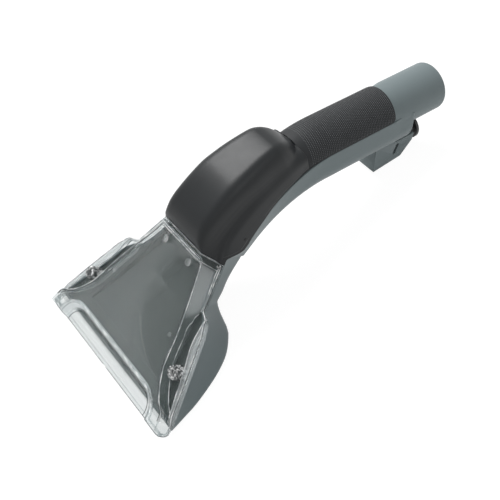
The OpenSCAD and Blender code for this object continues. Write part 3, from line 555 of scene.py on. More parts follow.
class Pattern:
    """A Geometry Nodes tree with named lengths and a finish for inputs."""

    def __init__(self, name, lengths):
        self.tree = bpy.data.node_groups.new(name, "GeometryNodeTree")
        kinds = {"Geometry": "NodeSocketGeometry", "Finish": "NodeSocketMaterial"}
        for item in ("Geometry", *lengths, "Finish"):
            kind = kinds.get(item, "NodeSocketFloat")
            self.tree.interface.new_socket(item, in_out="INPUT", socket_type=kind)
        self.tree.interface.new_socket("Geometry", in_out="OUTPUT", socket_type="NodeSocketGeometry")
        self.start = self.tree.nodes.new("NodeGroupInput").outputs

    def add(self, kind, inputs, settings=None):
        """Adds a node and gives back its first output."""
        return new_node(self.tree, kind, settings, inputs).outputs[0]

    def named(self, name):
        """A direction that the points carry."""
        return self.add("GeometryNodeInputNamedAttribute", {"Name": name}, {"data_type": "FLOAT_VECTOR"})

    def end(self, shape):
        """Ends the tree: smooth, real and in its finish."""
        smooth = self.add("GeometryNodeSetShadeSmooth", {0: shape})
        real = self.add("GeometryNodeRealizeInstances", {0: smooth})
        done = self.add("GeometryNodeSetMaterial", {"Geometry": real, "Material": self.start["Finish"]})
        self.tree.links.new(done, self.tree.nodes.new("NodeGroupOutput").inputs[0])

    def grow(self, name, points, edges, values, vectors=()):
        """Plain mesh object that the tree makes of points and edges."""
        mesh = bpy.data.meshes.new(name)
        mesh.from_pydata(points.tolist(), edges, [])
        for key, directions in vectors:
            mesh.attributes.new(key, "FLOAT_VECTOR", "POINT").data.foreach_set("vector", directions.ravel())
        piece = new_object(name, mesh)
        modifier = piece.modifiers.new(self.tree.name, "NODES")
        modifier.node_group = self.tree
        for item in self.tree.interface.items_tree:
            if item.in_out == "INPUT" and item.name in values:
                modifier[item.identifier] = values[item.name]
        bake(piece)
        return piece


# ---- The body ---------------------------------------------------------------------------

# Growth of the lower shell's half width towards the neck, and how it sets in
NECK_GROWTH = 9
NECK_POWER = 1.6
# Narrowing of the lower shell over the hose tube, and the length that it takes
TAIL_TAPER = 0.75
TAIL_TAPER_LEN = 6
# Rounding of the shell's tail, and how much its belly's radius shrinks towards the neck
TAIL_ROUND = 2.2
BELLY_LOSS = 1.6


def body_half(s):
    """Half width of the lower shell at its seam."""
    t = np.clip((s - STRAIGHT) / (SEAT_S - STRAIGHT), 0, 1)
    return BODY_R + NECK_GROWTH * t ** NECK_POWER - TAIL_TAPER * ease((TUBE_LEN - s) / TAIL_TAPER_LEN)


def seam_at(s):
    """Height of the seam between black and grey over the spine."""
    return curve(s, [(BEND_END, SEAM_W), (BEND_END + 4, SEAM_W + 0.8), (SEAT_S, HEAD_RISE + PLATE_V)])


def trough(seam, half, r):
    """Outline from one seam edge round the belly to the other, as (height, side) pairs."""
    reach = math.hypot(seam, half)
    touch = math.atan2(half, -seam) - math.acos(min(r / reach, 1))
    turn = np.linspace(touch, -touch, 40)
    arc = np.stack([-r * np.cos(turn), r * np.sin(turn)], -1)
    side = np.array([seam, half])
    wall = [side + (arc[0] - side) * t for t in np.linspace(0, 1, 7)[:-1]]
    return np.concatenate([wall, arc, [p * [1, -1] for p in wall[::-1]]])


def lower_net(inset):
    """Net of the lower shell: closed tail, belly and neck."""
    rows = []
    stations = np.concatenate([np.linspace(TAIL_S, STRAIGHT, 24), np.linspace(STRAIGHT, SEAT_S, 46)[1:]])
    round_r = TAIL_ROUND - inset * 0.6
    tail = trough(SEAM_W, BODY_R - inset, BODY_R - inset)
    middle = np.array([SEAM_W, 0])
    for share in (0.0, 0.45, 0.8):
        rows.append((TAIL_S + inset, middle + (tail - middle) * share))
    for turn in np.linspace(0, math.pi / 2, 6):
        pull = round_r * (1 - math.sin(turn)) / BODY_R
        rows.append((TAIL_S + inset + round_r * (1 - math.cos(turn)), middle + (tail - middle) * (1 - pull)))
    for s in stations[stations > TAIL_S + 3]:
        r = BODY_R - BELLY_LOSS * max(s - STRAIGHT, 0) / (SEAT_S - STRAIGHT)
        rows.append((s, trough(float(seam_at(s)), float(body_half(s)) - inset, r - inset)))
    return np.array([on_spine(s, ring[:, 0], ring[:, 1]) for s, ring in rows])


def add_lower_body():
    """Grey shell under the handle and the neck."""
    piece = shell_piece("lower_body", lower_net(0), lower_net(SHELL), "grey_plastic", "grey_plastic", 0.3)
    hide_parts("neck_shell")
    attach(piece, "tool")


def add_hose_tube():
    """Round tube at the rear, its mouth rounded and its front end reaching into the grip."""
    lip = [(-2.2 + 2.2 * math.cos(a), TUBE_R - 1.5 + 1.5 * math.sin(a))
           for a in np.linspace(math.pi / 2, 0, 8)]
    bore = [(-0.5 + 0.5 * math.sin(a), BORE_R + 0.5 - 0.5 * math.cos(a))
            for a in np.linspace(math.pi / 2, 0, 5)]
    inside = [(-38, BORE_R), (-38, 12.1), (-41, 12.0), (-41, 13.3), (-TUBE_LEN, 13.3)]
    outside = [(-TUBE_LEN, TUBE_R - 0.5), (-40, TUBE_R - 0.5), (-38.6, TUBE_R - 0.35), (-37.2, TUBE_R - 0.1),
               (-36, TUBE_R), (-22, TUBE_R), (-10, TUBE_R)]
    tube = turned(outside + lip + bore + inside)
    piece = closed_piece("hose_tube", [tube], "grey_plastic", "grey_plastic")
    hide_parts("handle_tube")
    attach(piece, "tool")


# ---- The grip ---------------------------------------------------------------------------

GRIP_CORNER = 3.5
# Spacing of the raised dashes along and round the grip, and the first row's place
DASH_PITCH = 1.25
DASH_SPACE = 1.1
DASH_START = 1.6
# Bare angle along the seams, and the wider one at the rounded rear corners
DASH_MARGIN = 0.14
DASH_CORNER_MARGIN = 0.3
# How much a dash lies round the grip and along it
DASH_LIE = (0.75, 0.66)


def grip_net(inset):
    """Net of the grip: a half round over the handle's top, its rear lower corners rounded."""
    r = BODY_R - inset
    stations = np.concatenate([TUBE_LEN + GRIP_CORNER * (1 - np.cos(np.linspace(0, math.pi / 2, 9))),
                               np.linspace(TUBE_LEN + GRIP_CORNER, GRIP_S, 34)[1:]])
    rows = []
    for s in stations:
        gap = max(TUBE_LEN + GRIP_CORNER - s, 0)
        lift = GRIP_CORNER - math.sqrt(max(GRIP_CORNER ** 2 - gap ** 2, 0))
        low = math.asin((SEAM_W - BELLY_DROP + lift) / BODY_R)
        turn = np.linspace(low, math.pi - low, 61)
        rows.append(on_spine(s, BELLY_DROP + r * np.sin(turn), r * np.cos(turn)))
    return np.array(rows)[:, ::-1]


def dash_places():
    """Middles of the grip's dashes with the direction each lies in and the way out."""
    places, lies, outs = [], [], []
    count = int(math.pi * BODY_R / DASH_SPACE)
    for row in range(int((GRIP_S - TUBE_LEN - 2) / DASH_PITCH)):
        s = TUBE_LEN + DASH_START + row * DASH_PITCH
        margin = DASH_CORNER_MARGIN if s < TUBE_LEN + 4 else DASH_MARGIN
        for k in range(count):
            turn = (k + 0.5 + 0.5 * (row % 2)) * math.pi / count
            if not margin < turn < math.pi - margin:
                continue
            out = np.array([0, math.cos(turn), math.sin(turn)])
            around = np.array([0, -math.sin(turn), math.cos(turn)])
            places.append(on_spine(s, BELLY_DROP, 0) + out * BODY_R)
            lies.append((around * DASH_LIE[0] - np.array([1, 0, 0]) * DASH_LIE[1]) @ BASIS)
            outs.append(out @ BASIS)
    return placed(places), np.array(lies), np.array(outs)


def dash_pattern():
    """A small pillow on every point, laid along the point's direction."""
    pattern = Pattern("raised dashes", ("Dash length", "Dash width", "Dash height"))
    start, add = pattern.start, pattern.add
    size = add("ShaderNodeCombineXYZ", {0: start["Dash length"], 1: start["Dash width"],
                                        2: start["Dash height"]})
    cube = add("GeometryNodeMeshCube", {"Size": size})
    pillow = add("GeometryNodeSubdivisionSurface", {"Mesh": cube, "Level": 1})
    up = add("FunctionNodeAlignEulerToVector", {"Vector": pattern.named("out")}, {"axis": "Z"})
    turn = add("FunctionNodeAlignEulerToVector", {"Rotation": up, "Vector": pattern.named("lie")},
               {"axis": "X", "pivot_axis": "Z"})
    points = add("GeometryNodeMeshToPoints", {"Mesh": start["Geometry"]})
    pattern.end(add("GeometryNodeInstanceOnPoints", {"Points": points, "Instance": pillow, "Rotation": turn}))
    return pattern


def add_grip(sizes):
    """Soft grip on the handle's top, with its raised dashes."""
    piece = shell_piece("grip_cover", grip_net(0.12), grip_net(1.5), "grip_rubber", "grip_rubber", 0.35, 45)
    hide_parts("grip_sleeve")
    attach(piece, "tool")
    spots, lies, outs = dash_places()
    values = {"Dash length": sizes.dash_length, "Dash width": sizes.dash_width,
              "Dash height": sizes.dash_height, "Finish": MATERIALS["grip_dash"]}
    dashes = dash_pattern().grow("grip_dashes", spots, [], values, (("lie", lies), ("out", outs)))
    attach(dashes, "tool")


# ---- The hood ---------------------------------------------------------------------------

# Distance, half width at the seam, height and half width of the skirt's shoulder, its rounding,
# half width at the dome's foot, height and half width of the dome's top, its rounding
HOOD = [
    (GRIP_S, 16.4, 24.8, 16.4, 14.5, 2, 24.9, 1.5, 1.5),
    (GRIP_S + 1.5, 16.5, 24.9, 16.5, 14.2, 8.5, 27.4, 7, 7),
    (GRIP_S + 3, 16.6, 25.1, 16.6, 14, 11.6, 30.8, 10, 10),
    (GRIP_S + 6, 17, 25.5, 16.9, 13, 14.4, 35.8, 13, 12),
    (GRIP_S + 9, 17.4, 25.9, 17.3, 12, 15.7, 39.2, 14.6, 12.5),
    (GRIP_S + 12, 17.8, 26.5, 17.7, 11, 16.6, 41.2, 15.6, 12.5),
    (GRIP_S + 19, 18.6, 27, 18.5, 9, 17.3, 43.1, 16.4, 11),
    (GRIP_S + 27, 19.7, 27.6, 19.6, 7, 18.4, 44.8, 17.6, 10),
    (GRIP_S + 35, 21.2, 28.5, 20.8, 6, 19, 46.5, 18, 8),
    (GRIP_S + 43, 22.2, 29, 21.6, 5.5, 19.6, 47, 18, 7),
    (BEND_END - 1, 23, 29, 22.2, 5, 20, 47.2, 18, 6),
    (NECK_S - 12, 24, 29, 22.8, 4.5, 20.4, 46.4, 18.1, 5),
    (NECK_S - 6, 25.5, 28.5, 24, 4, 21.4, 44, 18.3, 4),
    (NECK_S - 2, 26.7, 28, 25.2, 3, 23, 41, 18.6, 2.5),
    (NECK_S, 27.3, 27.5, 26.1, 2, 25, 38, 18.9, 1)]

# Wall of the hood
HOOD_WALL = 2.2
# Blending of the crease between skirt and dome, how far it is drawn in, and the angle from the
# top past which it adds no more than a hair to the seam's edge
CREASE = 2.4
CREASE_IN = 0.05
CREASE_END = 1.45
CREASE_HAIR = 0.02

# Dark pip low on each side of the skirt: place in the head's frame, radius and half its height
PIP_AT = (-18.0, 21.0, -22.0)
PIP_R = 0.8
PIP_LIFT = 0.25
PIP_SIDES = 20


def reach_at(angles, points, rounding):
    """Distance from the seam's middle out to a rounded half outline, at angles from its top."""
    line = rounded_line(points, rounding, 12)
    line = np.concatenate([np.linspace(a, b, 9) for a, b in zip(line[:-1], line[1:])])
    line = line - (points[0][0], 0)
    turn = np.arctan2(line[:, 1], line[:, 0])
    order = np.argsort(turn)
    return np.interp(angles, turn[order], np.hypot(line[:, 0], line[:, 1])[order])


def hood_net(inset):
    """Skirt and dome of the hood, one blended into the other."""
    angles = np.linspace(math.pi / 2, 0, 80)
    stations = np.concatenate([np.linspace(GRIP_S, GRIP_S + 12, 26),
                               np.linspace(GRIP_S + 12, NECK_S, 60)[1:]])
    rows = []
    for s in stations:
        seam_half, skirt_w, skirt_y, skirt_r, foot_y, top_w, top_y, top_r = [
            float(curve(s, HOOD, column)) for column in range(1, 9)]
        seam = float(seam_at(s))
        skirt_line = [(seam, seam_half - inset), (skirt_w - inset, skirt_y - inset), (skirt_w - inset, 0)]
        dome_line = [(seam, max(foot_y + 0.6 - inset, 0.4)), (top_w - inset, max(top_y - inset, 0.3)),
                     (top_w - inset, 0)]
        skirt = reach_at(angles, skirt_line, [max(skirt_r - inset, 1)])
        dome = reach_at(angles, dome_line, [max(top_r - inset, 0.25)])
        r = soft_max(skirt, dome, CREASE) - CREASE_IN
        r = np.where(angles > CREASE_END, np.minimum(r, np.maximum(skirt, dome) + CREASE_HAIR), r)
        line = np.stack([seam + r * np.cos(angles), r * np.sin(angles)], -1)
        rows.append(on_spine(s, *both_sides(line[::-1]).T))
    return np.array(rows)[:, ::-1]


def hood_pip(skin, side):
    """Small low disc on the skirt, as a closed ring of points and its faces."""
    along, out, up = PIP_AT
    target = in_head(np.array([along]), np.array([out * side]), np.array([up]))[0]
    row, column = np.unravel_index(np.linalg.norm(skin - target, axis=-1).argmin(), skin.shape[:2])
    place = skin[row, column]
    normal = np.cross(skin[row + 1, column] - place, skin[row, column + 1] - place)
    normal /= np.linalg.norm(normal)
    across = np.cross(normal, [1.0, 0.3, 0.2])
    across /= np.linalg.norm(across)
    turn = full_turn(PIP_SIDES)[:, None]
    ring = np.cos(turn) * across + np.sin(turn) * np.cross(normal, across)
    profile = ((-PIP_LIFT, 0.02), (-PIP_LIFT, PIP_R), (PIP_LIFT, PIP_R), (PIP_LIFT, 0.02))
    rings = [place + lift * normal + r * ring for lift, r in profile]
    return np.concatenate(rings), net(len(profile), PIP_SIDES, True, True)


def add_hood():
    """Black hood over the neck, with its two pips."""
    skin = hood_net(0)
    piece = shell_piece("hood_dome", skin, hood_net(HOOD_WALL), "black_plastic", "black_plastic", 0.5)
    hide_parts("hood")
    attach(piece, "tool")
    pips = [hood_pip(skin, side) for side in (1, -1)]
    pips = closed_piece("hood_pips", pips, "black_plastic", "seal_rubber", 30)
    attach(pips, "tool")


# ---- The head ---------------------------------------------------------------------------

def foot_v(u):
    """Height of the foot's plane in the head's frame."""
    return LIP_EDGE_V - (HEAD_LEN - u) * FOOT_SLOPE


# Distance, corner half width, corner height, reach of its rounding, keel height
BASE = [
    (BASE_REAR, 9.5, -50.5, 9, -50.5),
    (15, 15.5, -46, 10, -50.4),
    (22, 17, -46.5, 9, -50.1),
    (28, 17.6, -46.8, 9, -49.8),
    (30.4, 19.5, -47.6, 9, -49.6),
    (33, 24, -48.4, 9, -49.4),
    (38, 37.5, -49.1, 8, -49.1),
    (49.2, 51, foot_v(49.2) + FOOT_GAP, 7, foot_v(49.2) + FOOT_GAP),
    (65.3, 59, foot_v(65.3) + FOOT_GAP, 5.5, foot_v(65.3) + FOOT_GAP),
    (80.4, 63, foot_v(80.4) + FOOT_GAP, 4, foot_v(80.4) + FOOT_GAP),
    (BASE_FRONT, 63.8, foot_v(BASE_FRONT) + FOOT_GAP, 0.6, foot_v(BASE_FRONT) + FOOT_GAP)]

# Half width of the base's rim under the cover
RIM = [(BASE_REAR, 25.0), (5, 25.5), (28, 33.0), (31, 37), (34, 40), (40, 44.0), (49.2, 47.5), (65.3, 53.5),
       (80.4, 61.0), (BASE_FRONT, 65.6)]

# Distance, half width and depth of the shallow tray in the channel's floor
TRAY = [(0, 21, 4.5), (28, 27, 4.0), (60.3, 36, 2.25), (78.4, 42, 0.4), (79.4, 42, 0)]
# Length of the tray's edge, the floor's wall and its gap inside the base's rim
TRAY_EDGE = 0.9
FLOOR_WALL = 1.6
FLOOR_IN = 2.3

# Openings in the foot, for the cover's screws and the spray tip: place, axis, radius, wall,
# depth, and radius of the hole in the opening's end
TIP_U = 0.52 * HEAD_LEN
WELLS = [((TOWER[0], side * TOWER[1], PLATE_V - 4.5), (0, 0, -1), 3.2, 1.4, 30, 1.75) for side in (1, -1)]
WELLS.append(((TIP_U - 2.5, 0, foot_v(TIP_U) + 4.33), (0.5, 0, -0.866), 6.4, 1.3, 12, 5.0))
WELL_SIDES = 40
# How far the end of an opening's lining stays above the foot's plane
WELL_SHORT = 0.4


def base_line(u, inset):
    """Half outline of the base from its keel out to its rim, as (height, side) pairs."""
    corner_y, corner_v, reach, keel = [float(curve(u, BASE, column)) for column in range(1, 5)]
    lowest = foot_v(u) + FOOT_GAP
    corner_v, keel = max(corner_v, lowest), max(keel, lowest)
    rim = float(curve(u, RIM)) - inset
    corner = [min(corner_v + inset, PLATE_V - 1.0), corner_y - inset]
    points = [(keel + inset, 0), corner, (PLATE_V, rim)]
    line = rounded_line(points, [max(reach - inset / 2, 0.4)], 14)
    flat = np.linspace(0, 1, 9)[:-1, None]
    side = np.linspace(0, 1, 9)[1:, None]
    bottom = line[0] + (line[1] - line[0]) * flat
    wall = line[-2] + (line[-1] - line[-2]) * side
    return np.concatenate([bottom, line[1:-1], wall])


def base_net(inset):
    """Net of the base, closed by a flat wall at the front."""
    stations = np.concatenate([np.linspace(BASE_REAR, 26, 18), np.linspace(27, 34, 15),
                               np.linspace(35, BASE_FRONT - 1, 34), [BASE_FRONT - 0.3, BASE_FRONT]])
    rows = []
    for u in stations:
        at = min(u, BASE_FRONT - inset)
        rows.append(in_head(at, *both_sides(base_line(at, inset))[:, ::-1].T))
    front = both_sides(base_line(BASE_FRONT - inset, inset))
    middle = np.array([front[:, 0].max(), 0])
    for share in (0.9, 0.5, 0.0):
        ring = middle + (front - middle) * share
        rows.append(in_head(BASE_FRONT - inset, ring[:, 1], ring[:, 0]))
    return np.array(rows)


def tray_at(u, column):
    """Half width or depth of the floor's tray."""
    return np.interp(u, [row[0] for row in TRAY], [row[column] for row in TRAY])


def floor_level(u, y):
    """Top of the channel's floor: a plate with a shallow tray."""
    return PLATE_V - tray_at(u, 2) * ease((tray_at(u, 1) - np.abs(y)) / TRAY_EDGE + 0.5)


def add_channel_floor():
    """Grey floor of the suction channel, in place of the plain one and drawn in to the base's rim."""
    stations = np.concatenate([np.linspace(0, 77, 60), np.linspace(77.6, 80, 8),
                               np.linspace(81, BASE_FRONT - 2.9, 10)])
    top, under = [], []
    for u in stations:
        half = float(curve(u, RIM)) - FLOOR_IN
        tray = float(tray_at(u, 1))
        past_edge = min(tray + 0.6, half - 0.2)
        y = np.concatenate([np.linspace(0, tray - 0.8, 16), np.linspace(tray - 0.6, past_edge, 9),
                            np.linspace(past_edge, half, 8)[1:]])
        for rows, drop in ((top, 0), (under, FLOOR_WALL)):
            rows.append(in_head(u, *both_sides(np.stack([floor_level(u, y) - drop, y], -1))[:, ::-1].T))
    piece = shell_piece("channel_tray", np.array(top), np.array(under), "grey_plastic", "floor_plastic", 0)
    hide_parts("channel_floor")
    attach(piece, "tool")


def well_rings(place, axis, profile):
    """Closed shape of (distance along the axis, radius) pairs turned about a line in the head's frame."""
    axis = np.array(axis, float) / np.linalg.norm(axis)
    side = np.array([0, 1, 0])
    across = np.cross(axis, side)
    turn = full_turn(WELL_SIDES)[:, None]
    rings = [np.array(place) + axis * run + r * (np.cos(turn) * across + np.sin(turn) * side)
             for run, r in profile]
    points = np.concatenate([in_head(*ring.T) for ring in rings])
    return points, net(len(profile), WELL_SIDES, True, True)


def well_reach(place, axis, r, depth):
    """Depth of a lining that ends above the foot's plane."""
    axis = np.array(axis, float) / np.linalg.norm(axis)
    down = np.array([FOOT_SLOPE, -1]) / math.hypot(FOOT_SLOPE, 1)
    start = down @ np.array([place[0], float(place[2])])
    end = down @ np.array([TIP_U, foot_v(TIP_U) + FOOT_GAP])
    room = (end - start) / (down @ axis[[0, 2]])
    return min(depth, room - r * 0.5) - WELL_SHORT


def cut_wells(piece):
    """Opens the foot for the cover's screws and the spray tip, and lines each opening."""
    cutters, linings = [], []
    for place, axis, r, wall, depth, hole in WELLS:
        cutters.append(well_rings(place, axis, [(0.01, 0.01), (0.01, r), (depth, r), (depth, 0.01)]))
        reach = well_reach(place, axis, r + wall, depth)
        lining = [(-1, hole), (-1, r + wall), (reach, r + wall), (reach, r), (0, r), (0, hole)]
        linings.append(well_rings(place, axis, lining))
    cutter = closed_piece("cutter", cutters, "grey_plastic", "grey_plastic")
    cut = piece.modifiers.new("wells", "BOOLEAN")
    cut.operation = "DIFFERENCE"
    cut.solver = "EXACT"
    cut.object = cutter
    bake(piece)
    bpy.data.objects.remove(cutter)
    finish_mesh(piece, "grey_plastic", 40)
    wells = closed_piece("foot_wells", linings, "grey_plastic", "grey_plastic", 30)
    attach(wells, "tool")


def add_base():
    """Grey base of the nozzle, its openings and the channel's floor."""
    piece = shell_piece("nozzle_base", base_net(0), base_net(SHELL), "grey_plastic", "grey_plastic", 0.4)
    cut_wells(piece)
    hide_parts("head_base")
    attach(piece, "tool")
    add_channel_floor()


# ---- The clear nozzle -------------------------------------------------------------------

# Distance, half width of the channel's top, its height, half width at its foot
CHANNEL = [
    (0, 18.9, 0.0, 26.3), (3.6, 19.7, -0.5, 26.6), (5.5, 20.5, -3.0, 26.9), (14, 23.6, -3.8, 29.8),
    (28, 29, -4.0, 34.2), (30, 29.8, -4.0, 34.4), (34, 31.1, -4.1, 33.4), (38, 32.5, -4.2, 33.9),
    (48, 35.8, CHANNEL_V, 36.9), (59.2, 38.8, CHANNEL_V, 39.9), (65.1, 40.6, CHANNEL_V, 41.8),
    (73, 44.8, CHANNEL_V, 46.2), (81.8, 51.9, CHANNEL_V, 53.4), (87.2, 59, CHANNEL_V, 60.4),
    (HEAD_LEN, 62.6, CHANNEL_V, 63.6)]

# Width of the raised border round a side pocket
BORDER = [(29, 1.4), (31, 1.8), (34.5, 3.2), (41.6, 5.6), (49, 6.2), (58, 5.2), (66.5, 4.6), (77.6, 4.0),
          (90, 3.0), (HEAD_LEN, 2.4)]

# Plan of the lip's recess: radius of its rounded corners and where their centres lie
LIP_R, LIP_U, LIP_Y = 17.0, 98.5, 35.0

# Radius of the flange's front corners, and where its top begins to fall away at the sides
CORNER_R = 5.5
CORNER_FALL = 4.5
# Rise of the raised border over the flange
BORDER_RISE = 2.2
# Sides of a bead's section, and half length of the beads across the collar at the neck
BEAD_SIDES = 6
COLLAR_HALF = 18.4
# Ejector marks: distance, side and radius
MARKS = ((11, 12, 2.4), (50, 31, 1.4))
# Where the side pockets begin, and where the lip's crest and corners begin
POCKET_U = 29
LIP_SIDE_U = 84


def cover_edge(u):
    """Half width of the flange, its front corners rounded."""
    tip = np.clip((u - (HEAD_LEN - CORNER_R)) / CORNER_R, 0, 1)
    return np.interp(u, *zip(*FLANGE)) - CORNER_R * (1 - np.sqrt(1 - tip ** 2))


def top_edge(u):
    """Half width of the channel's flat top."""
    return curve(u, CHANNEL, 1)


def slope_foot(u):
    """Half width of the channel at the foot of its slope."""
    return curve(u, CHANNEL, 3)


def border_line(u):
    """Distance of the raised border's inner side from the middle."""
    return cover_edge(u) - curve(u, BORDER)


def in_recess(u, y):
    """Distance inside the border of the lip's recess, and negative outside it."""
    return LIP_R - np.hypot(np.maximum(LIP_U - u, 0), np.maximum(y - LIP_Y, 0))


def cover_height(u, y):
    """Height of the clear cover's top at u and y, both arrays."""
    y = np.abs(y)
    edge = cover_edge(u)
    # Channel: a flat top and a slope down to the flange
    half, top, foot = [curve(u, CHANNEL, column) for column in (1, 2, 3)]
    slope = (top - FLANGE_V) / np.maximum(foot - half, 1.5)
    plateau = soft_min(top, top - (y - half) * slope, 0.7)
    # Raised border along the edge, from where the side pockets begin
    on = ease((u - POCKET_U) / 3) * (1 - 0.5 * ease((u - LIP_SIDE_U) / 9))
    rim_top = FLANGE_V + BORDER_RISE * on
    rim = soft_min(rim_top, rim_top + (y - border_line(u) - 0.6) * 2.6, 0.3)
    v = soft_max(soft_max(plateau, rim, 0.5), FLANGE_V, 0.4)
    # Lip: the recess in front of the step
    inside = in_recess(u, y)
    width = 6.5 - 3.0 * ease((y - 42) / 8)
    v = v - (v - LIP_TOP_V) * ease(inside / width) * (inside > 0)
    # Front edge and outer corners
    drop = np.clip(0.62 * (v - LIP_EDGE_V), 1.2, 5.0)
    t = np.clip((u - (HEAD_LEN - drop)) / drop, 0, 1)
    v = LIP_EDGE_V + (v - LIP_EDGE_V) * np.sqrt(1 - t * t)
    side = ease((u - LIP_SIDE_U) / 10)
    near = np.clip((y - (edge - CORNER_FALL)) / CORNER_FALL, 0, 1)
    return v - side * (v - PLATE_V) * (1 - np.sqrt(1 - near ** 2)) * 0.85


def behind_mouth(u, v, gap=0.0):
    """Distance from the neck held behind the upright plane of the mouth."""
    return np.minimum(u, HEAD_LEN + MOUTH_LEAN - gap - FOOT_SLOPE * (v - LIP_EDGE_V))


def cover_low(u):
    """Height of the cover's underside along its edge."""
    return LIP_EDGE_V + (PLATE_V - LIP_EDGE_V) * ease((HEAD_LEN - u) / 8)


def cover_painted_highlight(u, y):
    """Share of painted highlight, a white glowing shader, on the cover: on the channel's slopes, the lip's
    crest and the corners.
    """
    y = np.abs(y)
    inside = in_recess(u, y)
    slope = 0.15 * ease((y - top_edge(u) + 0.2) / 0.8) * ease((slope_foot(u) - y) / 0.8)
    slope = slope * ease((u - 5) / 1.5) * ease((37 - u) / 5)
    crest = 0.7 * ease(inside / 0.4) * (1 - ease((inside - 4.0) / 1.6)) * (1 - 0.4 * ease((y - 42) / 10))
    corner = 0.12 * ease((u - 92.5) / 2) * ease((y - 49) / 5)
    rim = 0.2 * ease((y - border_line(u)) / 0.8) * ease((u - 30) / 3)
    lip = 0.05 * ease((u - 93) / 2) + 0 * y
    return np.max([slope, crest, corner, rim, lip], axis=0)


def cover_plain(u, y):
    """Share of the cover that passes light straight on: nearly all of it in the lip and its corners."""
    corner = ease((u - 90.5) / 2) * ease((np.abs(y) - 46) / 5)
    return 0.82 + 0.18 * np.maximum(corner, 0.75 * ease((u - 93) / 1.5))


def cover_net():
    """Outer net of the cover, and its shares of painted highlight and of plain light at each point."""
    stations = np.concatenate([
        np.linspace(0, 3.6, 6), np.linspace(3.9, 6.5, 9), np.linspace(7.5, 27.5, 22), np.linspace(28, 33, 16),
        np.linspace(33.8, 78, 52), np.linspace(78.6, 95, 34),
        HEAD_LEN - 5.2 * (1 - np.sin(np.linspace(0.04, 1, 24) * math.pi / 2))])
    rows, painted_highlight, plain = [], [], []
    for u in stations:
        half, foot, edge = float(top_edge(u)), float(slope_foot(u)), float(cover_edge(u))
        half = min(half, edge - 2.0)
        foot = min(max(foot, half + 1.5), edge - 1.2)
        rim = max(edge - float(curve(u, BORDER)) - 0.7, foot + 0.3)
        y = np.concatenate([np.linspace(0, half - 1.6, 40), np.linspace(half - 1.2, half + 0.9, 7),
                            np.linspace(half + 1.2, foot - 0.1, 7)[:-1], np.linspace(foot - 0.1, rim, 12),
                            np.linspace(rim, edge - 0.35, 10)[1:]])
        v = cover_height(np.full_like(y, u), y)
        low = cover_low(u)
        y = np.append(y, [edge, edge, edge])
        v = np.append(v, [v[-1] - 0.35, (v[-1] + low) / 2, low])
        v = np.maximum(v, low)
        both = both_sides(np.stack([v, y], -1))
        rows.append(in_head(behind_mouth(u, both[:, 0]), both[:, 1], both[:, 0]))
        across = np.full(len(both), u)
        painted_highlight.append(cover_painted_highlight(across, both[:, 1]))
        plain.append(cover_plain(across, both[:, 1]))
    return np.array(rows), {"painted_highlight": np.array(painted_highlight), "plain": np.array(plain)}


def post(rings, sides):
    """Upright shape of rings with flat ends."""
    last = (len(rings) - 1) * sides
    faces = net(len(rings), sides, False, True)
    faces += [tuple(range(sides))[::-1], tuple(last + k for k in range(sides))]
    return np.concatenate(rings), faces


def faceted_tower(side):
    """Screw tower in a side pocket: a tapered post with flutes and a dished top."""
    u, y, top, r = TOWER
    levels = [(PLATE_V + 0.4, r), (FLANGE_V + 1.5, r), (top - 2.0, r * 0.97), (top - 0.6, r * 0.93),
              (top, r * 0.78), (top - 0.2, r * 0.45), (top - 2.4, r * 0.36)]
    sides = 20
    turn = full_turn(sides)
    flute = 1 - 0.16 * (np.arange(sides) % 2)
    rings = [in_head(u + radius * flute * np.cos(turn), side * y + radius * flute * np.sin(turn), v)
             for v, radius in levels]
    return post(rings, sides)


def mould_mark(u, y, r):
    """Faint round ejector mark on the cover, a very low disc."""
    sides = 28
    turn = full_turn(sides)
    rings = []
    for radius, rise in ((r, -0.1), (r, 0.06), (r - 0.15, 0.12), (0.5 * r, 0.12), (0.02, 0.12), (0.02, -0.1)):
        pu, py = u + radius * np.cos(turn), y + radius * np.sin(turn)
        rings.append(in_head(pu, py, cover_height(pu, py) + rise))
    return np.concatenate(rings), net(6, sides, True, True)


def rear_lug(side):
    """Small faceted lug at a rear corner of the flange."""
    levels = [(FLANGE_V - 0.5, 1.5), (FLANGE_V + 1.6, 1.4), (FLANGE_V + 2.6, 0.8)]
    sides = 7
    turn = full_turn(sides)
    rings = [in_head(1.7 + 0.9 * r * np.cos(turn), side * (NECK_HALF - 0.9 + 0.8 * r * np.sin(turn)), v)
             for v, r in levels]
    return post(rings, sides)


def on_cover(u, y, rise=0.0):
    """Line on the cover's top through arrays of u and y, and its mirror image."""
    u, y = np.broadcast_arrays(np.asarray(u, float), np.asarray(y, float))
    v = cover_height(u, y) + rise
    return [in_head(behind_mouth(u, v, 0.35), side * y, v) for side in (1, -1)]


def recess_line(inside):
    """Half plan line inside the border of the lip's recess, from the middle to the front."""
    reach = LIP_R - inside
    turn = np.linspace(0, math.pi / 2, 16)
    u = np.concatenate([np.full(20, LIP_U - reach), LIP_U - reach * np.cos(turn),
                        np.linspace(LIP_U, HEAD_LEN - 1, 3)])
    y = np.concatenate([np.linspace(0, LIP_Y, 20), LIP_Y + reach * np.sin(turn), np.full(3, LIP_Y + reach)])
    return u, y


def long_edge(first, last, count, place, shift, rise):
    """Line along the cover, at a shift from one of its own lines, and its mirror image."""
    u = np.linspace(first, last, count)
    return on_cover(u, place(u) + shift, rise)


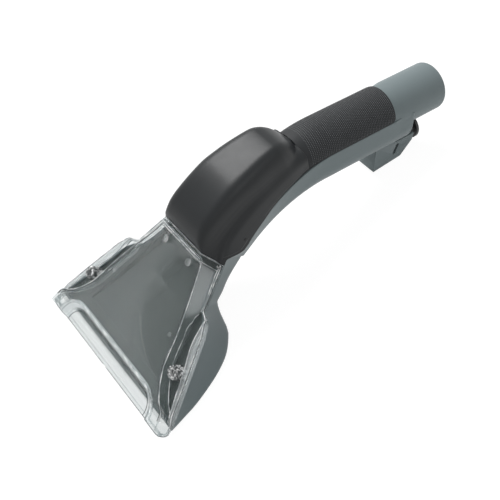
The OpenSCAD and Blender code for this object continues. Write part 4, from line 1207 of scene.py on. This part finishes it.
def glint_lines():
    """Lines along the cover's edges, for beads painted with a glint."""
    lines = long_edge(5.5, 91, 90, top_edge, 0, 0.05)
    lines += long_edge(31, 90, 70, slope_foot, 0, 0.1)
    lines += long_edge(31, 90, 70, border_line, 0.5, 0.1)
    lines += long_edge(1, 94, 100, cover_edge, -0.7, 0.1)
    lines += long_edge(1, 29, 30, slope_foot, 0, 0.1)
    # Across the collar at the neck, and down its slopes
    y = np.linspace(0, COLLAR_HALF, 20)
    for u in (0.3, 3.3, 5.6):
        lines += on_cover(u, y * (1 + 0.02 * u), 0.05)
    wall = np.linspace(0, 1, 12)
    for u in (0.4, 4.6):
        half, foot = float(top_edge(u)), float(slope_foot(u))
        lines += on_cover(u, half - 0.6 + (foot - half + 0.6) * wall, 0.05)
    # Round the lip's recess
    for inside in (0.3, 1.4):
        lines += on_cover(*recess_line(inside), 0.05)
    return lines


def outline():
    """Half plan line along the flange's edge, round its front corner and along the mouth."""
    turn = np.linspace(0, math.pi / 2, 16)[1:]
    u = np.concatenate([np.linspace(0.5, 95, 100), 95 + 5.2 * np.sin(turn), np.full(40, HEAD_LEN - 0.3)])
    mouth = np.linspace(0, MOUTH_HALF - 5.8, 41)[:0:-1]
    corner = MOUTH_HALF - 0.25 - CORNER_R * (1 - np.cos(turn))
    return u, np.concatenate([cover_edge(u[:100]) - 0.25, corner, mouth])


def shade_lines():
    """Lines beside the glint lines, for beads painted with shade."""
    lines = long_edge(5.5, 91, 90, top_edge, -0.9, 0.05)
    u, y = outline()
    lines += on_cover(u, y, np.where(u < 94, -0.3, 0.1))
    lines += long_edge(31, 90, 70, border_line, -0.5, 0.1)
    lines += long_edge(31, 90, 70, slope_foot, 0.7, 0.1)
    lines += on_cover(2.0, np.linspace(0, COLLAR_HALF, 20), 0.05)
    lines += on_cover(*recess_line(6.8), 0.05)
    return lines


def bead_pattern():
    """A thin round bead along every line."""
    pattern = Pattern("edge beads", ("Bead radius",))
    start, add = pattern.start, pattern.add
    path = add("GeometryNodeMeshToCurve", {0: start["Geometry"]})
    ring = add("GeometryNodeCurvePrimitiveCircle", {"Resolution": BEAD_SIDES, "Radius": start["Bead radius"]})
    pattern.end(add("GeometryNodeCurveToMesh", {"Curve": path, "Profile Curve": ring, "Fill Caps": True}))
    return pattern


def add_edges(name, lines, radius, finish):
    """Beads of one finish along lines of the cover."""
    edges, first = [], 0
    for line in lines:
        edges += [(first + k, first + k + 1) for k in range(len(line) - 1)]
        first += len(line)
    values = {"Bead radius": radius, "Finish": MATERIALS[finish]}
    piece = bead_pattern().grow(name, placed(np.concatenate(lines)), edges, values)
    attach(piece, "tool")


def hold_inner_wall(piece):
    """Keeps the wall's inner side inside the outer one at the mouth and its corners."""
    u, y, v = from_head(mesh_points(piece.data)).T
    count = len(u)
    within = np.arange(count) >= count // 2
    u = np.where(within, np.minimum(u, behind_mouth(HEAD_LEN - 1.0, v, 1.0)), u)
    limit = np.where(within, cover_edge(u) - 0.9, cover_edge(u) + 1)
    y = np.clip(y, -limit, limit)
    v = np.maximum(v, cover_low(u))
    piece.data.vertices.foreach_set("co", placed(in_head(u, y, v)).ravel())


def add_cover(sizes):
    """Clear nozzle with its towers, lugs and marks, and beads along its edges painted with glints and shade.
    """
    outer, shares = cover_net()
    rows, columns = outer.shape[:2]
    piece = new_piece("clear_nozzle", outer.reshape(-1, 3), net(rows, columns), "clear_plastic",
                      "clear_plastic", 60)
    for name, values in shares.items():
        piece.data.attributes.new(name, "FLOAT", "POINT").data.foreach_set("value", values.ravel())
    wall = piece.modifiers.new("wall", "SOLIDIFY")
    wall.thickness = sizes.cover_wall
    wall.offset = -1
    wall.use_even_offset = False
    bake(piece)
    hold_inner_wall(piece)
    finish_mesh(piece, "clear_plastic", 60)
    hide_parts("clear_cover")
    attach(piece, "tool")
    posts = [shape(side) for shape in (faceted_tower, rear_lug) for side in (1, -1)]
    marks = [mould_mark(u, side * y, r) for u, y, r in MARKS for side in (1, -1)]
    # The towers carry painted sparkle
    for name, parts, finish in (("cover_towers", posts, "facets"), ("cover_marks", marks, "mark")):
        details = closed_piece(name, parts, "clear_plastic", finish, 15)
        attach(details, "tool")
    # Beads painted white stand for glints and dark ones for shade: painted light and shade
    add_edges("cover_bright_edges", glint_lines(), sizes.edge_radius, "bright_edge")
    add_edges("cover_dark_edges", shade_lines(), sizes.edge_radius * 0.8, "dark_edge")


# ---- CAD nodes that stay ----------------------------------------------------------------

# Nodes that are shown as they are, and the finish of each
KEPT = {
    "upper_shell": "dark_plastic", "air_duct": "dark_plastic", "duct_seal": "seal_rubber",
    "cover_screws": "steel", "block_screws": "steel", "socket_seal": "seal_rubber", "valve_seat": "steel",
    "check_poppet": "natural_plastic", "poppet_seal": "seal_rubber",
    "solution_tube": "tube_plastic", "tube_clips": "natural_plastic", "spray_tip": "brass",
    "tip_seal": "seal_rubber", "tip_screws": "steel",
    "tip_holder": "fitting_plastic"}


def add_valve_spring():
    """Copy of the check valve's spring in a mesh of its own; the share of its length kept at the valve's full
    travel is worked out, but nothing shortens it.
    """
    slide = next(joint for joint in frame["record"]["behaviour"]["joints"] if joint["name"] == "check_slide")
    axis = np.array(slide["axis"])
    piece = merged_copy("valve_spring", "poppet_spring")
    finish_mesh(piece, "steel", 50)
    points = mesh_points(piece.data)
    along = points @ axis
    length = along.max() - along.min()
    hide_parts("poppet_spring")
    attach(piece, "tool")
    keep = 1 - slide["range_m"][1] / length
    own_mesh(piece)


def dress_nodes():
    """Finishes of the nodes that stay, and the inlet's rounded copies."""
    for node, finish in KEPT.items():
        mesh = frame["nodes"][node].data
        mesh.materials.clear()
        mesh.materials.append(MATERIALS[finish])
    rounded_copy("inlet_housing", "inlet_block", 0.35, "grey_plastic")
    rounded_copy("hose_socket", "inlet_fitting", 0.2, "fitting_plastic")
    add_valve_spring()


# ---- Stage ------------------------------------------------------------------------------

# Share of the floor that glows where it is seen, and how strongly
FLOOR_SHARE = 0.82
FLOOR_GLOW = 1.14
FLOOR_REACH = 3.0
LAMP_SIZE = 0.8
# Strength of the world's light on the tool
WORLD_LIGHT = 0.34


def background_rays(recipe):
    """1 on the rays that show the background: from the camera, by gloss and through clear plastic."""
    path = recipe.tree.nodes.new("ShaderNodeLightPath").outputs
    seen = Wire(recipe, path["Is Camera Ray"])
    for name in ("Is Glossy Ray", "Is Transmission Ray"):
        seen = seen.math("MAXIMUM", Wire(recipe, path[name]))
    return seen


def floor_material():
    """White floor that keeps a faint shadow."""
    recipe = material_recipe("stage floor")
    tint = recipe.mix(recipe.noise(8.0, 2.0, 0.5), (0.9, 0.9, 0.9, 1), (0.92, 0.92, 0.92, 1))
    plain = recipe.node("ShaderNodeBsdfDiffuse", {}, {"Color": tint})
    glow = recipe.node("ShaderNodeEmission", {}, {"Color": (1, 1, 1, 1), "Strength": FLOOR_GLOW})
    return recipe.surface(recipe.blend(background_rays(recipe) * FLOOR_SHARE, plain, glow))


def set_world():
    """World that lights the tool softly and is white where it is seen."""
    recipe = Recipe(bpy.data.worlds.new("studio"))
    soft = recipe.node("ShaderNodeBackground", {}, {"Color": (1, 1, 1, 1), "Strength": WORLD_LIGHT})
    white = recipe.node("ShaderNodeBackground", {}, {"Color": (1, 1, 1, 1), "Strength": 1.0})
    blended = recipe.blend(background_rays(recipe), soft, white)
    bpy.context.scene.world = recipe.surface(blended, "ShaderNodeOutputWorld")


def add_lamp(name, place, aim, power):
    """Round soft lamp that faces a point."""
    light = bpy.data.lights.new(name, "AREA")
    light.shape = "DISK"
    light.size = LAMP_SIZE
    light.energy = power
    lamp = new_object(name, light)
    lamp.location = place
    lamp.rotation_euler = (aim - Vector(place)).to_track_quat("-Z", "Y").to_euler()


def add_camera(sizes):
    """Camera of the settings."""
    data = bpy.data.cameras.new("camera")
    data.sensor_width = 36
    data.lens = sizes.lens
    data.clip_start = 0.01
    camera = new_object("camera", data)
    camera.location = sizes.camera_place
    camera.rotation_euler = sizes.camera_turn
    bpy.context.scene.camera = camera


def add_stage(sizes):
    """White floor, white background, two lamps and the camera."""
    low, high = [Vector(corner) for corner in CAD_BOX]
    middle = (low + high) / 2
    corners = [(middle.x + FLOOR_REACH * x, middle.y + FLOOR_REACH * y, low.z)
               for x, y in ((-1, -1), (1, -1), (1, 1), (-1, 1))]
    mesh = bpy.data.meshes.new("floor")
    mesh.from_pydata(corners, [], [(0, 1, 2, 3)])
    mesh.materials.append(floor_material())
    floor = new_object("floor", mesh)
    bpy.context.scene.view_settings.view_transform = "Standard"
    set_world()
    add_lamp("key", (middle.x + 0.17, middle.y + 0.68, 1.0), middle, sizes.key_power)
    add_lamp("fill", (middle.x + 0.1, middle.y - 0.9, 0.7), middle, sizes.fill_power)
    add_camera(sizes)


# ---- Settings and operators -------------------------------------------------------------

class HandToolSizes(bpy.types.PropertyGroup):
    """Sizes that shape the dressed tool and its stage."""

    dash_length: bpy.props.FloatProperty(name="Dash length", description="Length of the grip's raised dashes",
                                         default=0.00105, min=0.0005, max=0.002, unit="LENGTH", precision=4)
    dash_width: bpy.props.FloatProperty(name="Dash width", description="Width of the grip's raised dashes",
                                        default=0.0005, min=0.0003, max=0.001, unit="LENGTH", precision=4)
    dash_height: bpy.props.FloatProperty(name="Dash height",
                                         description="Thickness of the grip's raised dashes",
                                         default=0.0004, min=0.0002, max=0.0008, unit="LENGTH", precision=4)
    cover_wall: bpy.props.FloatProperty(name="Cover wall", description="Wall of the clear cover",
                                        default=0.0018, min=0.001, max=0.0025, unit="LENGTH", precision=4)
    edge_radius: bpy.props.FloatProperty(name="Edge radius",
                                         description="Radius of the clear cover's edge beads",
                                         default=0.0003, min=0.0001, max=0.0006, unit="LENGTH", precision=5)
    lens: bpy.props.FloatProperty(name="Lens", description="Focal length of the camera", default=61.2,
                                  min=20, max=200, unit="CAMERA")
    camera_place: bpy.props.FloatVectorProperty(name="Camera place", description="Where the camera stands",
                                                default=(-0.13916, -0.29689, 0.4526), subtype="TRANSLATION",
                                                unit="LENGTH", precision=4)
    camera_turn: bpy.props.FloatVectorProperty(name="Camera turn", description="How the camera is turned",
                                               default=(math.radians(33.936), math.radians(11.205),
                                                        math.radians(-37.63)),
                                               subtype="EULER", unit="ROTATION")
    key_power: bpy.props.FloatProperty(name="Key lamp", description="Power of the lamp over the tool",
                                       default=15.0, min=0, max=60, unit="POWER")
    fill_power: bpy.props.FloatProperty(name="Fill lamp", description="Power of the lamp at the near side",
                                        default=1.3, min=0, max=60, unit="POWER")


class HandToolColours(bpy.types.PropertyGroup):
    """Colours of the tool's main finishes."""

    grey_code: bpy.props.StringProperty(name="Grey plastic", description="Colour of the body as a hex code",
                                        default="#717c7e")
    floor_code: bpy.props.StringProperty(name="Channel floor",
                                         description="Colour of the floor under the cover",
                                         default="#6a706f")
    hood_code: bpy.props.StringProperty(name="Hood", description="Colour of the hood as a hex code",
                                        default="#1a1d1f")
    grip_code: bpy.props.StringProperty(name="Grip", description="Colour of the grip as a hex code",
                                        default="#242628")
    # Lighter than the grip's rubber: a painted sheen on the dashes
    dash_highlight_code: bpy.props.StringProperty(name="Grip dashes", description="Colour of the grip's raised dashes",
                                        default="#595b5d")


class ToolOperator:
    """What all operators share: they build from the scene's settings"""
    bl_options = {"REGISTER", "UNDO"}

    def execute(self, context):
        self.build(context.scene.hand_tool_sizes, context.scene.hand_tool_colours)
        return {"FINISHED"}


class HANDTOOL_OT_finishes(ToolOperator, bpy.types.Operator):
    """Make the finishes that the pieces use"""
    bl_idname = "hand_tool.finishes"
    bl_label = "Finishes"

    def build(self, sizes, colours):
        make_materials(colours)


class HANDTOOL_OT_body(ToolOperator, bpy.types.Operator):
    """Make the grey hose tube and lower body"""
    bl_idname = "hand_tool.body"
    bl_label = "Hose tube and lower body"

    def build(self, sizes, colours):
        add_hose_tube()
        add_lower_body()


class HANDTOOL_OT_grip(ToolOperator, bpy.types.Operator):
    """Make the soft grip and its raised dashes"""
    bl_idname = "hand_tool.grip"
    bl_label = "Grip"

    def build(self, sizes, colours):
        add_grip(sizes)


class HANDTOOL_OT_hood(ToolOperator, bpy.types.Operator):
    """Make the black hood over the neck"""
    bl_idname = "hand_tool.hood"
    bl_label = "Hood"

    def build(self, sizes, colours):
        add_hood()


class HANDTOOL_OT_base(ToolOperator, bpy.types.Operator):
    """Make the grey base of the nozzle"""
    bl_idname = "hand_tool.base"
    bl_label = "Nozzle base"

    def build(self, sizes, colours):
        add_base()


class HANDTOOL_OT_cover(ToolOperator, bpy.types.Operator):
    """Make the clear nozzle with its screw towers"""
    bl_idname = "hand_tool.cover"
    bl_label = "Clear nozzle"

    def build(self, sizes, colours):
        add_cover(sizes)


class HANDTOOL_OT_fittings(ToolOperator, bpy.types.Operator):
    """Finish the inlet block, the fitting and the small parts"""
    bl_idname = "hand_tool.fittings"
    bl_label = "Inlet block and small parts"

    def build(self, sizes, colours):
        dress_nodes()


class HANDTOOL_OT_stage(ToolOperator, bpy.types.Operator):
    """Make the floor, the lamps and the camera"""
    bl_idname = "hand_tool.stage"
    bl_label = "Stage"

    def build(self, sizes, colours):
        add_stage(sizes)


OPERATORS = (HANDTOOL_OT_finishes, HANDTOOL_OT_body, HANDTOOL_OT_grip, HANDTOOL_OT_hood, HANDTOOL_OT_base,
             HANDTOOL_OT_cover, HANDTOOL_OT_fittings, HANDTOOL_OT_stage)


class HANDTOOL_PT_panel(bpy.types.Panel):
    """Sidebar panel of the hand tool"""
    bl_label = "Hand Tool"
    bl_idname = "HANDTOOL_PT_panel"
    bl_space_type = "VIEW_3D"
    bl_region_type = "UI"
    bl_category = "Hand Tool"

    def draw(self, context):
        layout = self.layout
        for group in (context.scene.hand_tool_sizes, context.scene.hand_tool_colours):
            for name in type(group).__annotations__:
                layout.prop(group, name)
        for operator in OPERATORS:
            layout.operator(operator.bl_idname)


CLASSES = (HandToolSizes, HandToolColours) + OPERATORS + (HANDTOOL_PT_panel,)


def register():
    """Registers the classes and the scene's settings."""
    for item in CLASSES:
        bpy.utils.register_class(item)
    bpy.types.Scene.hand_tool_sizes = bpy.props.PointerProperty(type=HandToolSizes)
    bpy.types.Scene.hand_tool_colours = bpy.props.PointerProperty(type=HandToolColours)


def unregister():
    """Takes back what register did."""
    del bpy.types.Scene.hand_tool_colours
    del bpy.types.Scene.hand_tool_sizes
    for item in reversed(CLASSES):
        bpy.utils.unregister_class(item)


def main():
    """Builds the dressed tool."""
    register()
    for name in ("finishes", "body", "grip", "hood", "base", "cover", "fittings", "stage"):
        getattr(bpy.ops.hand_tool, name)()


if __name__ == "__main__":
    main()
